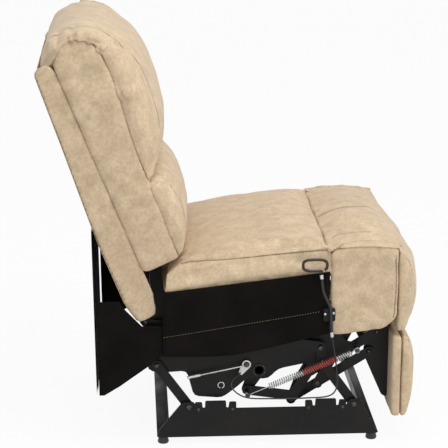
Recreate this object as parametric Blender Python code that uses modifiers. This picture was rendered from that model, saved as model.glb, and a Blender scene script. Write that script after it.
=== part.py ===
"""Armless recliner section: steel glide base, parallel-link seat, folding footrest and a reclining back.

Metres. +X is the front of the seat, -Y its right side, +Z up, and the floor is z = 0.
"""
import math

import bmesh
import bpy
from mathutils import Matrix, Vector

# Overall width and the gaps that pieces keep to each other
CHAIR_WIDTH = 0.580
SEAT_GAP = 0.0003
PIVOT_GAP = 0.0004

# Seat deck: a plane that rises to the front, from the rear edge to the crease behind the front roll
SEAT_REAR_X = -0.165
SEAT_FRONT_X = 0.236
DECK_REAR_Z = 0.3668
DECK_TILT = math.radians(6.5)
CUSHION_EDGE = 0.056
CUSHION_SWELL = 0.022
CUSHION_CROWN = 0.018
CUSHION_DRAW_IN = 0.004
SEAT_RAIL_DEPTH = 0.058
SEAT_RAIL_WIDTH = 0.030

# Front box, roll and the pads in front of it
BOX_LENGTH = 0.161
BOX_LOW_Z = 0.270
BOX_TOP_Z = 0.466
BOX_SIDE_THICK = 0.022
BOX_SIDE_INSET = 0.0015
FRONT_BOARD_THICK = 0.027
FRONT_BOARD_HEIGHT = 0.104
ROLL_OVERHANG = 0.022
ROLL_HEIGHT = 0.046
ROLL_CROWN = 0.012
CHAISE_THICK = 0.030
CHAISE_BULGE = 0.0295
CHAISE_LOW_Z = 0.262
PAD_SEAMS_Y = (0.098, -0.098)
SEAM_DEPTH = 0.005
FOOTREST_LOW_Z = 0.043
FOOTREST_TOP_Z = 0.2593
FOOTREST_PAD_THICK = 0.037
FOOTREST_BOARD_THICK = 0.022
FOOTREST_BOARD_BACK_X = 0.388

# Steel plates of the mechanism, stacked side by side across the chair
PLATE = 0.004
LAYER = 0.008
MECHANISM_INSET = 0.046
PIN_RADIUS = 0.0042
PIN_HEAD_RADIUS = 0.0075
PIN_HEAD = 0.0022
BAR_HALF = 0.012

# Footrest linkage
ARM_LENGTH = 0.2231
ARM_ANGLE = 31.6
CRANK_LENGTH = 0.240
CRANK_ANGLE = 62.0
CRANK_SPACING = 0.075
ARM_SPACING = 0.0531
ARM_STEP_ANGLE = 70.2
FOOT_PIVOT_BACK = 0.048
FOOT_PIVOT_Z = 0.197

# Drive lever, its tube across the chair and the opening spring
LEVER_LENGTH = 0.062
LEVER_TIP_X = 0.041
LEVER_TIP_Z = 0.109
TUBE_RADIUS = 0.0125
TUBE_WALL = 0.002
SPRING_END_X = 0.304
SPRING_END_Z = 0.218
SPRING_INSET = 0.018
SPRING_COIL_RADIUS = 0.0070
SPRING_WIRE = 0.0013
SPRING_CURLS = 16
SPRING_POINTS = 8
SPRING_HOOK = 0.053

# Swing links that carry the seat on the base
REAR_SWING_X = -0.100
FRONT_SWING_X = 0.300
SWING_Z = 0.076
SWING_LENGTH = 0.132
SWING_LEAN = 35.7
SWING_TRAVEL = 38.0
DRIVE_CRANK = 0.040

# Base: heights are drawn from the underside of its rails, and the glides hold that line above the floor
STAND_HEIGHT = 0.018
BASE_REAR_X = -0.178
BASE_FRONT_X = 0.361
RAIL_LOW_Z = 0.000
RAIL_TOP_Z = 0.072
GLIDE_RADIUS = 0.014
CROSS_WIDTH = 0.030
CROSS_TOP_Z = 0.030
CROSS_WALL = 0.003
BRACKET_PLACES = ((-0.086, 0.014), (0.181, 0.281))
BRACKET_LOW_Z = 0.048
BRACKET_TOP_Z = 0.093
BRACKET_EAR = 0.024

# Back: its own upright axis leans from the hinge, u runs up it and v out of its front
HINGE_X = -0.185
HINGE_Z = 0.330
BACK_LEAN = math.radians(22.0)
WING_TOP = 0.630
HEAD_RISE = 0.068
BACK_TOP = WING_TOP + HEAD_RISE
WING_REAR_TOP = -0.033
WING_REAR_LOW = -0.058
WING_FRONT = 0.0165
WING_THICK = 0.0115
OUTSIDE_THICK = 0.008
FRAME_BACK = -0.020
FRAME_FRONT = 0.0145
FRAME_SIDE = 0.0118
WEB_THICK = 0.002
CORE_FRONT = 0.108
CORE_RISE = 0.044
CORE_TOP = WING_TOP + CORE_RISE
PILLOW_NOTCH = 0.290
LUMBAR_LOW = 0.094

# Skirt behind the back, and the black cloth
SKIRT_TOP = 0.2345
SKIRT_BEHIND = -0.0583
SKIRT_LOW_Z = 0.118
SKIRT_THICK = 0.006
SKIRT_DRIFT = 0.006
SKIRT_INSET = 0.007
CLOTH_THICK = 0.003
CLOTH_LOW_Z = 0.216

# Release cable on the right side
CABLE_RADIUS = 0.0035
WIRE_RADIUS = 0.0018
CLIP_THICK = 0.004
CLIP_Z = 0.316
RING_WIRE = 0.0035
RING_HALF_LENGTH = 0.0285
RING_HALF_HEIGHT = 0.0140
RING_SQUARENESS = 0.65

HALF = CHAIR_WIDTH / 2
MECH_Y = HALF - MECHANISM_INSET
SIDES = (("right", -1), ("left", 1))


def layer_y(step):
    """Middle of a plate layer: 0 is the seat plate, negative steps lie outside it, positive inside."""
    return MECH_Y - step * LAYER


def polar(length, degrees):
    """Offset in the side view, the angle counted from +X towards +Z."""
    angle = math.radians(degrees)
    return Vector((length * math.cos(angle), length * math.sin(angle)))


def deck(x):
    """Height of the seat deck at x."""
    return DECK_REAR_Z + (x - SEAT_REAR_X) * math.tan(DECK_TILT)


def on_back(v, u):
    """Side view point from the back's own coordinates."""
    return Vector((HINGE_X + v * math.cos(BACK_LEAN) - u * math.sin(BACK_LEAN),
                   HINGE_Z + v * math.sin(BACK_LEAN) + u * math.cos(BACK_LEAN)))


# Pivots in the side view
FOOT_PIVOT = Vector((FOOTREST_BOARD_BACK_X - FOOT_PIVOT_BACK, FOOT_PIVOT_Z))
ARM_RUN = polar(ARM_LENGTH, ARM_ANGLE)
ARM_REAR = FOOT_PIVOT - ARM_RUN
CRANK_PIVOT = ARM_REAR + polar(CRANK_LENGTH, CRANK_ANGLE)
CRANK_STEP = polar(CRANK_SPACING, ARM_ANGLE)
FRONT_CRANK_PIVOT = CRANK_PIVOT + CRANK_STEP
FRONT_CRANK_TIP = ARM_REAR + CRANK_STEP
UPPER_STEP = polar(ARM_SPACING, ARM_STEP_ANGLE)
UPPER_REAR = ARM_REAR + UPPER_STEP
UPPER_FOOT = FOOT_PIVOT + UPPER_STEP
FOOTREST_CENTRE = CRANK_PIVOT + ARM_RUN
BOX_FRONT_X = SEAT_FRONT_X + BOX_LENGTH
CHAISE_HINGE = Vector((BOX_FRONT_X + CHAISE_THICK, BOX_TOP_Z))
LEVER_TIP = Vector((LEVER_TIP_X, LEVER_TIP_Z))
LEVER_PIVOT = LEVER_TIP + polar(LEVER_LENGTH, CRANK_ANGLE)
ROD_ON_CRANK = CRANK_PIVOT - polar(LEVER_LENGTH, CRANK_ANGLE)
SPRING_END = Vector((SPRING_END_X, SPRING_END_Z))
SWING_RUN = polar(SWING_LENGTH, 90 + SWING_LEAN)
REAR_SWING_LOW = Vector((REAR_SWING_X, SWING_Z))
FRONT_SWING_LOW = Vector((FRONT_SWING_X, SWING_Z))
REAR_SWING_TOP = REAR_SWING_LOW + SWING_RUN
FRONT_SWING_TOP = FRONT_SWING_LOW + SWING_RUN
HINGE = Vector((HINGE_X, HINGE_Z))
SKIRT_HINGE = on_back(SKIRT_BEHIND, SKIRT_TOP)
PAWL_PIVOT = LEVER_PIVOT + Vector((-0.031, 0.017))
PAWL_ARM = PAWL_PIVOT + Vector((-0.013, -0.020))
CLIP_X = SEAT_FRONT_X - 0.003
RING_FOOT = Vector((CLIP_X - 0.021, CLIP_Z + 0.104))

# The bar that reclines the back is square to both of its cranks at half travel
SPAN = FRONT_SWING_TOP - HINGE
BAR_SLOPE = math.asin(2 * DRIVE_CRANK / SPAN.length) + math.atan2(SPAN.y, SPAN.x)
BAR_SQUARE = math.degrees(BAR_SLOPE) + 90
BAR_FRONT = FRONT_SWING_TOP + polar(DRIVE_CRANK, BAR_SQUARE + SWING_TRAVEL / 2)
BAR_REAR = HINGE + polar(DRIVE_CRANK, BAR_SQUARE + 180 - SWING_TRAVEL / 2)
BAR_SLOT_RISE = 2 * DRIVE_CRANK * (1 - math.cos(math.radians(SWING_TRAVEL / 2))) + PIVOT_GAP

for old in list(bpy.data.objects):
    bpy.data.objects.remove(old, do_unlink=True)
RECLINER = bpy.data.collections.new("armless_recliner")
bpy.context.scene.collection.children.link(RECLINER)
SHAPES = bpy.data.collections.new("joining_shapes")
bpy.context.scene.collection.children.link(SHAPES)


def material(name, colour, roughness, metallic=0.0):
    """A plain Principled material."""
    made = bpy.data.materials.new(name)
    made.use_nodes = True
    shader = made.node_tree.nodes["Principled BSDF"]
    shader.inputs["Base Color"].default_value = (*colour, 1.0)
    shader.inputs["Roughness"].default_value = roughness
    shader.inputs["Metallic"].default_value = metallic
    return made


TAN = material("tan_upholstery", (0.66, 0.52, 0.35), 0.6)
TAN_SIDE = material("tan_upholstery_side", (0.56, 0.44, 0.29), 0.65)
CLOTH = material("black_platform_cloth", (0.010, 0.008, 0.007), 0.9)
STEEL = material("black_painted_steel", (0.012, 0.011, 0.011), 0.42, 0.3)
ZINC = material("zinc_plated_steel", (0.62, 0.62, 0.60), 0.35, 1.0)
WOOD = material("frame_wood", (0.55, 0.40, 0.24), 0.75)
PLASTIC = material("black_plastic", (0.015, 0.015, 0.016), 0.4)
SPRING = material("zinc_and_red_spring", (0.55, 0.42, 0.40), 0.35, 0.8)


def empty(name, point):
    """A joint's axis point, which carries the pieces that turn on it."""
    made = bpy.data.objects.new(name, None)
    made.location = (point[0], 0.0, point[1])
    made.empty_display_size = 0.03
    RECLINER.objects.link(made)
    return made


BASE = empty("base_frame", (0.0, 0.0))
SEAT = empty("seat_carriage", FRONT_SWING_TOP)
FRONT_SWING = empty("front_swing_axis", FRONT_SWING_LOW)
REAR_SWING = empty("rear_swing_axis", REAR_SWING_LOW)
BACK = empty("back_axis", HINGE)
BACK_DRIVE = empty("back_drive_axis", BAR_REAR)
SKIRT = empty("skirt_axis", SKIRT_HINGE)
REAR_CRANK = empty("rear_crank_axis", CRANK_PIVOT)
FRONT_CRANK = empty("front_crank_axis", FRONT_CRANK_PIVOT)
LONG_ARM = empty("long_arm_axis", ARM_REAR)
UPPER_ARM = empty("upper_arm_axis", UPPER_REAR)
FOOTREST = empty("footrest_axis", FOOTREST_CENTRE)
CHAISE = empty("chaise_axis", CHAISE_HINGE)
LEVER = empty("drive_lever_axis", LEVER_PIVOT)
ROD = empty("drive_rod_axis", LEVER_TIP)
PAWL = empty("latch_axis", PAWL_PIVOT)
RING = empty("release_ring_slide", RING_FOOT)


def add(name, data, body, finish):
    """A named part in the recliner's collection, carried by its joint."""
    made = bpy.data.objects.new(name, data)
    made.parent = body
    made.location = -body.location
    data.materials.append(finish)
    RECLINER.objects.link(made)
    return made


def shape(name, data):
    """A hidden shape that is joined to, or cut from, a part."""
    made = bpy.data.objects.new(name, data)
    made.hide_render = True
    made.display_type = "WIRE"
    SHAPES.objects.link(made)
    return made


def combine(part, other, operation):
    """A part with another shape joined on or cut away."""
    change = part.modifiers.new(operation.lower() + "_" + other.name, "BOOLEAN")
    change.operation = operation
    change.object = other
    change.solver = "EXACT"
    return part


def circle(centre, radius, sides=8):
    """A round hole or boss as a closed loop."""
    turn = 360 / sides
    return [centre + polar(radius, turn * (step + 0.5)) for step in range(sides)]


def turns_left(a, b, c):
    """Whether the path a, b, c turns left."""
    return (b[0] - a[0]) * (c[1] - a[1]) - (b[1] - a[1]) * (c[0] - a[0]) > 0


def hull(circles, sides=12):
    """The taut outline around some circles, each a centre and a radius."""
    cloud = [point for centre, radius in circles for point in circle(centre, radius, sides)]
    cloud = sorted({(round(p.x, 6), round(p.y, 6)) for p in cloud})
    rim = []
    for run in (cloud, cloud[::-1]):
        chain = []
        for p in run:
            while len(chain) > 1 and not turns_left(chain[-2], chain[-1], p):
                chain.pop()
            chain.append(p)
        rim += chain[:-1]
    return [Vector(p) for p in rim]


def rounded(corners, radius, steps=3):
    """A polygon with each corner turned into a short arc."""
    loop = []
    count = len(corners)
    for index, corner in enumerate(corners):
        corner = Vector(corner)
        before = Vector(corners[index - 1]) - corner
        after = Vector(corners[(index + 1) % count]) - corner
        cut = min(radius, 0.45 * before.length, 0.45 * after.length)
        start = corner + before.normalized() * cut
        end = corner + after.normalized() * cut
        for step in range(steps):
            t = step / (steps - 1)
            loop.append(start * (1 - t) ** 2 + corner * 2 * t * (1 - t) + end * t ** 2)
    return loop


def bent_bar(points, half_width, end_steps=5):
    """Outline of a flat bar through some points, mitred at its bends and round at its ends."""
    points = [Vector(p) for p in points]
    left, right = [], []
    for before, point, after in zip(points, points[1:], points[2:]):
        leg = (point - before).normalized()
        ahead = (leg + (after - point).normalized()).normalized()
        side = Vector((-ahead.y, ahead.x)) * half_width / ahead.dot(leg)
        left.append(point + side)
        right.append(point - side)
    loop = list(right)
    for tip, neighbour, run in ((points[-1], points[-2], left[::-1]), (points[0], points[1], [])):
        heading = math.degrees(math.atan2(*(tip - neighbour).yx))
        for step in range(end_steps):
            loop.append(tip + polar(half_width, heading - 90 + 180 * step / (end_steps - 1)))
        loop += run
    return loop


def flat_curve(name, loops, thickness):
    """A flat outline with holes, filled and given its thickness."""
    curve = bpy.data.curves.new(name, "CURVE")
    curve.dimensions = "2D"
    curve.fill_mode = "BOTH"
    curve.extrude = thickness / 2
    for loop in loops:
        spline = curve.splines.new("POLY")
        spline.points.add(len(loop) - 1)
        for knot, point in zip(spline.points, loop):
            knot.co = (point[0], point[1], 0.0, 1.0)
        spline.use_cyclic_u = True
    return curve


UPRIGHT = Matrix.Rotation(math.pi / 2, 4, "X")


def flat_mesh(name, loops, thickness, stand):
    """The same as a welded mesh, stood in its place by a matrix."""
    guide = bpy.data.objects.new(name + "_outline", flat_curve(name + "_outline", loops, thickness))
    SHAPES.objects.link(guide)
    drawn = guide.evaluated_get(bpy.context.evaluated_depsgraph_get())
    data = bpy.data.meshes.new_from_object(drawn)
    bpy.data.objects.remove(guide)
    solid = bmesh.new()
    solid.from_mesh(data)
    bmesh.ops.remove_doubles(solid, verts=solid.verts[:], dist=1e-6)
    bmesh.ops.transform(solid, matrix=stand, verts=solid.verts[:])
    bmesh.ops.recalc_face_normals(solid, faces=solid.faces[:])
    solid.to_mesh(data)
    solid.free()
    data.name = name
    return data


def plate(name, body, finish, loops, y, thickness=PLATE):
    """A plate that stands in the side view with its middle at y."""
    stand = Matrix.Translation((0.0, y, 0.0)) @ UPRIGHT
    return add(name, flat_mesh(name, loops, thickness, stand), body, finish)


def pair(name, body, finish, loops, y, thickness=PLATE):
    """Two equal plates, one on each side."""
    return [plate(name + "_" + side_name, body, finish, loops, side * y, thickness) for side_name,
            side in SIDES]


def hole(centre):
    """The hole that a pivot pin runs in."""
    return circle(centre, (PIN_RADIUS + PIVOT_GAP) / math.cos(math.pi / 8))


def turned(solid, profile, x, z, sides=8):
    """Spins a profile of (radius, y) round the cross axis through (x, z)."""
    verts = [solid.verts.new((x + radius, y, z)) for radius, y in profile]
    edges = [solid.edges.new(ends) for ends in zip(verts, verts[1:])]
    bmesh.ops.spin(solid, geom=verts + edges, cent=(x, 0.0, z), axis=(0.0, 1.0, 0.0),
                   angle=math.tau, steps=sides, use_merge=True)


def turned_mesh(name, profiles, sides=8):
    """A mesh of turned pieces, each a profile with its place in the side view."""
    solid = bmesh.new()
    for profile, x, z in profiles:
        turned(solid, profile, x, z, sides)
    bmesh.ops.remove_doubles(solid, verts=solid.verts[:], dist=1e-6)
    bmesh.ops.recalc_face_normals(solid, faces=solid.faces[:])
    data = bpy.data.meshes.new(name)
    solid.to_mesh(data)
    solid.free()
    return data


def pin(layer, through):
    """Profile of a pin set in one plate layer, through the hole of another, and headed beyond it."""
    way = 1 if through < layer else -1
    root = layer_y(layer)
    face = layer_y(through) + way * (PLATE / 2 + SEAT_GAP)
    tip = layer_y(through) + way * (PLATE / 2 + PIN_HEAD)
    return [(0.0, root), (PIN_RADIUS, root), (PIN_RADIUS, face), (PIN_HEAD_RADIUS, face),
            (PIN_HEAD_RADIUS * 0.8, tip), (0.0, tip)]


def link(name, body, loops, layer, pins=()):
    """A pair of plates with their own pins: each pin is a pivot and its profile on the left side."""
    made = pair(name, body, STEEL, loops, layer_y(layer))
    for part, (side_name, side) in zip(made, SIDES):
        if pins:
            profiles = [([(radius, side * y) for radius, y in profile], spot.x, spot.y) for spot,
                        profile in pins]
            set_pins = name + "_pins_" + side_name
            combine(part, shape(set_pins, turned_mesh(set_pins, profiles)), "UNION")
    return made


def tube(name, body, finish, run, radius, resolution=2):
    """Round wire or tube along a run of points."""
    curve = bpy.data.curves.new(name, "CURVE")
    curve.dimensions = "3D"
    curve.bevel_depth = radius
    curve.bevel_resolution = resolution
    curve.use_fill_caps = True
    spline = curve.splines.new("POLY")
    spline.points.add(len(run) - 1)
    for knot, point in zip(spline.points, run):
        knot.co = (*point, 1.0)
    return add(name, curve, body, finish)


def smooth_run(route, per_leg):
    """Points on a smooth curve through a hand-chosen route."""
    route = [Vector(p) for p in route]
    longer = [2 * route[0] - route[1]] + route + [2 * route[-1] - route[-2]]
    run = []
    for a, b, c, d in zip(longer, longer[1:], longer[2:], longer[3:]):
        for step in range(per_leg):
            t = step / per_leg
            run.append(0.5 * (2 * b + (c - a) * t + (2 * a - 5 * b + 4 * c - d) * t ** 2
                              + (3 * b - a - 3 * c + d) * t ** 3))
    return run + [route[-1]]


def cushion(name, body, finish, cuts, form):
    """A soft solid: a cube cut at the given places, its corners moved by form(a, b, c), then smoothed."""
    cage = bmesh.new()
    bmesh.ops.create_cube(cage, size=2.0)
    for axis, places in enumerate(cuts):
        normal = Vector((0.0, 0.0, 0.0))
        normal[axis] = 1.0
        for offset in places:
            bmesh.ops.bisect_plane(cage, geom=cage.verts[:] + cage.edges[:] + cage.faces[:],
                                   plane_co=normal * offset, plane_no=normal)
    for vert in cage.verts:
        vert.co = form(*vert.co)
    if cage.calc_volume(signed=True) < 0:
        bmesh.ops.reverse_faces(cage, faces=cage.faces[:])
    data = bpy.data.meshes.new(name)
    cage.to_mesh(data)
    cage.free()
    data.shade_smooth()
    part = add(name, data, body, finish)
    smooth = part.modifiers.new("soft_form", "SUBSURF")
    smooth.levels = 1
    smooth.render_levels = 1
    return part


def seam_dip(y):
    """Depth of the sewn channels across the front pads at y."""
    return sum(SEAM_DEPTH * math.exp(-((y - seam) / 0.014) ** 2) for seam in PAD_SEAMS_Y)


def side_cuts():
    """Cage cuts across the chair, close to the edges and on each sewn channel."""
    places = [-0.93, 0.93]
    for seam in PAD_SEAMS_Y:
        places += [seam / HALF - 0.06, seam / HALF, seam / HALF + 0.06]
    return sorted(places)


# Base: two side rails on four glides, tied by two cross members;
# each rail has its pivot pins and arm brackets
rail_y = layer_y(-2)
ear_rise = SWING_Z + 0.014
rail_corners = [(BASE_REAR_X, RAIL_LOW_Z), (BASE_FRONT_X, RAIL_LOW_Z),
                (BASE_FRONT_X - 0.010, RAIL_LOW_Z + 0.018),
                (FRONT_SWING_X + 0.016, ear_rise), (FRONT_SWING_X - 0.012, ear_rise),
                (FRONT_SWING_X - 0.018, RAIL_TOP_Z), (REAR_SWING_X + 0.018, RAIL_TOP_Z),
                (REAR_SWING_X + 0.012, ear_rise), (REAR_SWING_X - 0.016, ear_rise),
                (BASE_REAR_X + 0.004, RAIL_LOW_Z + 0.018)]
base_rails = link("base_rail", BASE, [rounded(rail_corners, 0.006)], -2,
                  [(REAR_SWING_LOW, pin(-2, -1)), (FRONT_SWING_LOW, pin(-2, -1))])


def bracket_outline(low_x, high_x):
    """A hooked tab between two ears, which takes a neighbouring arm."""
    dip = BRACKET_TOP_Z - 0.018
    ear_top = BRACKET_TOP_Z - 0.003
    return rounded([
        (low_x, BRACKET_LOW_Z + 0.012), (low_x + BRACKET_EAR, BRACKET_LOW_Z),
        (high_x - BRACKET_EAR, BRACKET_LOW_Z),
        (high_x, BRACKET_LOW_Z + 0.012), (high_x, ear_top), (high_x - 0.017, ear_top),
        (high_x - 0.019, dip),
        (high_x - 0.024, dip), (high_x - 0.025, BRACKET_TOP_Z), (low_x + 0.025, BRACKET_TOP_Z),
        (low_x + 0.024, dip), (low_x + 0.019, dip), (low_x + 0.017, ear_top), (low_x, ear_top)], 0.003)


BRACKET_SINK = 0.0005
bracket_y = rail_y + PLATE - BRACKET_SINK
for rail, (side_name, side) in zip(base_rails, SIDES):
    stand = Matrix.Translation((0.0, side * bracket_y, 0.0)) @ UPRIGHT
    tabs = [bracket_outline(*ends) for ends in BRACKET_PLACES]
    combine(rail,
            shape("arm_brackets_" + side_name, flat_mesh("arm_brackets_" + side_name, tabs, PLATE, stand)),
            "UNION")


def cross_member(name, x, lip):
    """A steel angle across the base, its upright wall towards the middle of the chair."""
    outer = x - lip * CROSS_WIDTH / 2
    inner = x + lip * CROSS_WIDTH / 2
    wall = inner - lip * CROSS_WALL
    floor = RAIL_LOW_Z + CROSS_WALL
    corners = [(outer, RAIL_LOW_Z), (inner, RAIL_LOW_Z), (inner, CROSS_TOP_Z), (wall, CROSS_TOP_Z),
               (wall, floor), (outer, floor)]
    plate(name, BASE, STEEL, [corners], 0.0, 2 * (rail_y - PLATE / 2 - SEAT_GAP))


REAR_CROSS_X = BASE_REAR_X + CROSS_WIDTH / 2
FRONT_CROSS_X = BASE_FRONT_X - CROSS_WIDTH / 2
cross_member("base_cross_rear", REAR_CROSS_X, 1)
cross_member("base_cross_front", FRONT_CROSS_X, -1)


def glide(name, x, y):
    """A plastic foot, turned on its upright axis, under the end of a rail."""
    top = RAIL_LOW_Z - SEAT_GAP
    solid = bmesh.new()
    profile = [(0.0, top), (GLIDE_RADIUS * 0.75, top), (GLIDE_RADIUS, 0.003 - STAND_HEIGHT),
               (GLIDE_RADIUS * 0.9, -STAND_HEIGHT), (0.0, -STAND_HEIGHT)]
    verts = [solid.verts.new((x + radius, y, z)) for radius, z in profile]
    edges = [solid.edges.new(ends) for ends in zip(verts, verts[1:])]
    bmesh.ops.spin(solid, geom=verts + edges, cent=(x, y, 0.0), axis=(0.0, 0.0, 1.0), angle=math.tau,
                   steps=16,
                   use_merge=True)
    bmesh.ops.remove_doubles(solid, verts=solid.verts[:], dist=1e-6)
    bmesh.ops.recalc_face_normals(solid, faces=solid.faces[:])
    data = bpy.data.meshes.new(name)
    solid.to_mesh(data)
    solid.free()
    add(name, data, BASE, PLASTIC)


for side_name, side in SIDES:
    glide("rear_glide_" + side_name, REAR_CROSS_X, side * (rail_y - GLIDE_RADIUS))
    glide("front_glide_" + side_name, FRONT_CROSS_X, side * (rail_y - GLIDE_RADIUS))

# Swing links: the rear pair is plain, the front pair has a short crank above its seat pivot
link("rear_swing", REAR_SWING,
     [hull([(REAR_SWING_LOW, BAR_HALF), (REAR_SWING_TOP, BAR_HALF)]), hole(REAR_SWING_LOW),
      hole(REAR_SWING_TOP)], -1)
link("front_swing", FRONT_SWING,
     [bent_bar([FRONT_SWING_LOW, FRONT_SWING_TOP, BAR_FRONT], BAR_HALF), hole(FRONT_SWING_LOW),
      hole(FRONT_SWING_TOP)],
     -1, [(BAR_FRONT, pin(-1, -2))])

# Seat side plates, which carry every link on their pins, and the spring on a stud
spring_y = HALF - SPRING_INSET
stud_end = spring_y - SPRING_WIRE - PIVOT_GAP
anchor_stud = [(0.0, MECH_Y), (0.007, MECH_Y), (0.007, MECH_Y + PLATE / 2 + 0.003),
               (0.005, MECH_Y + PLATE / 2 + 0.004),
               (0.005, stud_end), (0.0, stud_end)]
seat_plate_corners = [
    REAR_SWING_TOP + Vector((-0.022, -0.014)), REAR_SWING_TOP + Vector((0.004, -0.022)), (-0.105, 0.165),
    (-0.088, 0.100), (-0.020, 0.094), (0.010, 0.116), LEVER_PIVOT + Vector((-0.030, -0.021)),
    LEVER_PIVOT + Vector((0.022, -0.023)), LEVER_PIVOT + Vector((0.046, 0.002)),
    FRONT_SWING_TOP + Vector((-0.040, -0.004)), FRONT_SWING_TOP + Vector((-0.022, -0.017)),
    FRONT_SWING_TOP + Vector((0.022, -0.017)), SPRING_END + Vector((-0.042, -0.012)),
    SPRING_END + Vector((-0.004, -0.011)), SPRING_END + Vector((0.011, -0.004)),
    SPRING_END + Vector((0.011, 0.009)),
    SPRING_END + Vector((-0.028, 0.016)), CRANK_PIVOT + Vector((0.004, -0.026)),
    CRANK_PIVOT + Vector((0.024, -0.014)),
    FRONT_CRANK_PIVOT + Vector((0.018, -0.014)), FRONT_CRANK_PIVOT + Vector((0.018, 0.012)),
    FRONT_CRANK_PIVOT + Vector((-0.006, 0.018)),
    (SEAT_FRONT_X, deck(SEAT_FRONT_X) - SEAT_RAIL_DEPTH - 0.018),
    (SEAT_FRONT_X - 0.036, deck(SEAT_FRONT_X - 0.036) - SEAT_RAIL_DEPTH - 0.010),
    (SEAT_FRONT_X - 0.054, deck(SEAT_FRONT_X - 0.054) - SEAT_RAIL_DEPTH + 0.010),
    (-0.100, deck(-0.100) - SEAT_RAIL_DEPTH + 0.010),
    (-0.114, deck(-0.114) - SEAT_RAIL_DEPTH - 0.010), (-0.158, 0.296), HINGE + Vector((0.022, 0.016)),
    HINGE + Vector((-0.018, 0.018))]
tube_hole = circle(LEVER_PIVOT, (TUBE_RADIUS + PIVOT_GAP) / math.cos(math.pi / 16), 16)
link("seat_plate", SEAT, [rounded(seat_plate_corners, 0.012), tube_hole], 0,
     [(REAR_SWING_TOP, pin(0, -1)), (FRONT_SWING_TOP, pin(0, -1)), (HINGE, pin(0, -1)),
      (PAWL_PIVOT, pin(0, -1)),
      (CRANK_PIVOT, pin(0, 2)), (FRONT_CRANK_PIVOT, pin(0, 2)), (SPRING_END, anchor_stud)])

# Wooden seat frame: one glued ring of rails in the deck's plane, screwed to the outside of the plates
side_rail_in = MECH_Y + PLATE / 2 + SEAT_GAP
side_rail_out = HALF - 0.0055
along_deck = 1 / math.cos(DECK_TILT)
frame_rear = 0.015 * along_deck
frame_front = (SEAT_FRONT_X - SEAT_REAR_X) * along_deck - SEAT_RAIL_DEPTH * math.tan(DECK_TILT) - SEAT_GAP
ring_outer = [(frame_rear, -side_rail_out), (frame_front, -side_rail_out), (frame_front, side_rail_out),
              (frame_rear, side_rail_out)]
window = [(frame_rear + SEAT_RAIL_WIDTH, -side_rail_in), (frame_front - SEAT_RAIL_WIDTH, -side_rail_in),
          (frame_front - SEAT_RAIL_WIDTH, side_rail_in), (frame_rear + SEAT_RAIL_WIDTH, side_rail_in)]


def on_deck(depth):
    """Places a flat outline in the deck's plane, its middle this far below the deck."""
    return (Matrix.Translation((SEAT_REAR_X, 0.0, DECK_REAR_Z)) @ Matrix.Rotation(-DECK_TILT, 4, "Y")
            @ Matrix.Translation((0.0, 0.0, -depth)))


frame_middle = SEAT_GAP + SEAT_RAIL_DEPTH / 2
add("seat_frame", flat_mesh("seat_frame", [ring_outer, window], SEAT_RAIL_DEPTH, on_deck(frame_middle)),
    SEAT, WOOD)
DECK_SHEET = 0.002
deck_edge = [(frame_rear + SEAT_RAIL_WIDTH + SEAT_GAP, SEAT_GAP - side_rail_in),
             (frame_front - SEAT_RAIL_WIDTH - SEAT_GAP, SEAT_GAP - side_rail_in),
             (frame_front - SEAT_RAIL_WIDTH - SEAT_GAP, side_rail_in - SEAT_GAP),
             (frame_rear + SEAT_RAIL_WIDTH + SEAT_GAP, side_rail_in - SEAT_GAP)]
add("seat_deck", flat_mesh("seat_deck", [deck_edge], DECK_SHEET, on_deck(SEAT_GAP + DECK_SHEET)), SEAT,
    CLOTH)


def seat_form(a, b, c):
    """The seat cushion: swells to the front, crowned, drawn in along its sides."""
    x = (SEAT_REAR_X + SEAT_FRONT_X) / 2 + a * (SEAT_FRONT_X - SEAT_REAR_X - 0.001) / 2
    y = b * (HALF - CUSHION_DRAW_IN * (1 - a * a))
    swell = CUSHION_EDGE + CUSHION_SWELL * (1 - ((a - 0.35) / 1.35) ** 2)
    crown = CUSHION_CROWN * (1 - b * b) * (1 - a ** 4)
    height = (swell + crown * (c > 0.5)) * (c + 1) / 2
    return Vector((x, y, deck(x) + SEAT_GAP + height))


cushion("seat_cushion", SEAT, TAN, ((-0.85, -0.4, 0.1, 0.55, 0.88), (-0.93, -0.5, 0.0, 0.5, 0.93), (0.0, 0.74)),
        seat_form)

# Front box: padded sides and a board between them, the roll on top and the chaise pad in front
box_side_in = HALF - BOX_SIDE_INSET - BOX_SIDE_THICK
box_loop = rounded([(SEAT_FRONT_X, BOX_LOW_Z - 0.010), (BOX_FRONT_X - 0.030, BOX_LOW_Z + 0.006),
                    (BOX_FRONT_X, BOX_LOW_Z + 0.034), (BOX_FRONT_X, BOX_TOP_Z), (SEAT_FRONT_X, BOX_TOP_Z)],
                    0.016, 4)
pair("front_box", SEAT, TAN_SIDE, [box_loop], box_side_in + BOX_SIDE_THICK / 2, BOX_SIDE_THICK)
board_low = BOX_TOP_Z - FRONT_BOARD_HEIGHT
plate("front_board", SEAT, WOOD,
      [[(BOX_FRONT_X - FRONT_BOARD_THICK, board_low), (BOX_FRONT_X, board_low), (BOX_FRONT_X, BOX_TOP_Z),
        (BOX_FRONT_X - FRONT_BOARD_THICK, BOX_TOP_Z)]], 0.0, 2 * (box_side_in - SEAT_GAP))
ROLL_FRONT_X = BOX_FRONT_X + ROLL_OVERHANG


def roll_form(a, b, c):
    """The front roll: a crowned bolster across the seat with sewn channels."""
    x = (SEAT_FRONT_X + ROLL_FRONT_X) / 2 + a * (ROLL_FRONT_X - SEAT_FRONT_X - 0.001) / 2
    y = b * HALF
    arch = 1 - 0.45 * max(0.0, abs(a) - 0.55) / 0.45
    top = ROLL_HEIGHT * arch + ROLL_CROWN * (1 - b * b) * (1 - a * a) - seam_dip(y) * (abs(b) < 0.9)
    return Vector((x, y, BOX_TOP_Z + SEAT_GAP + top * (c + 1) / 2))


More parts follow.
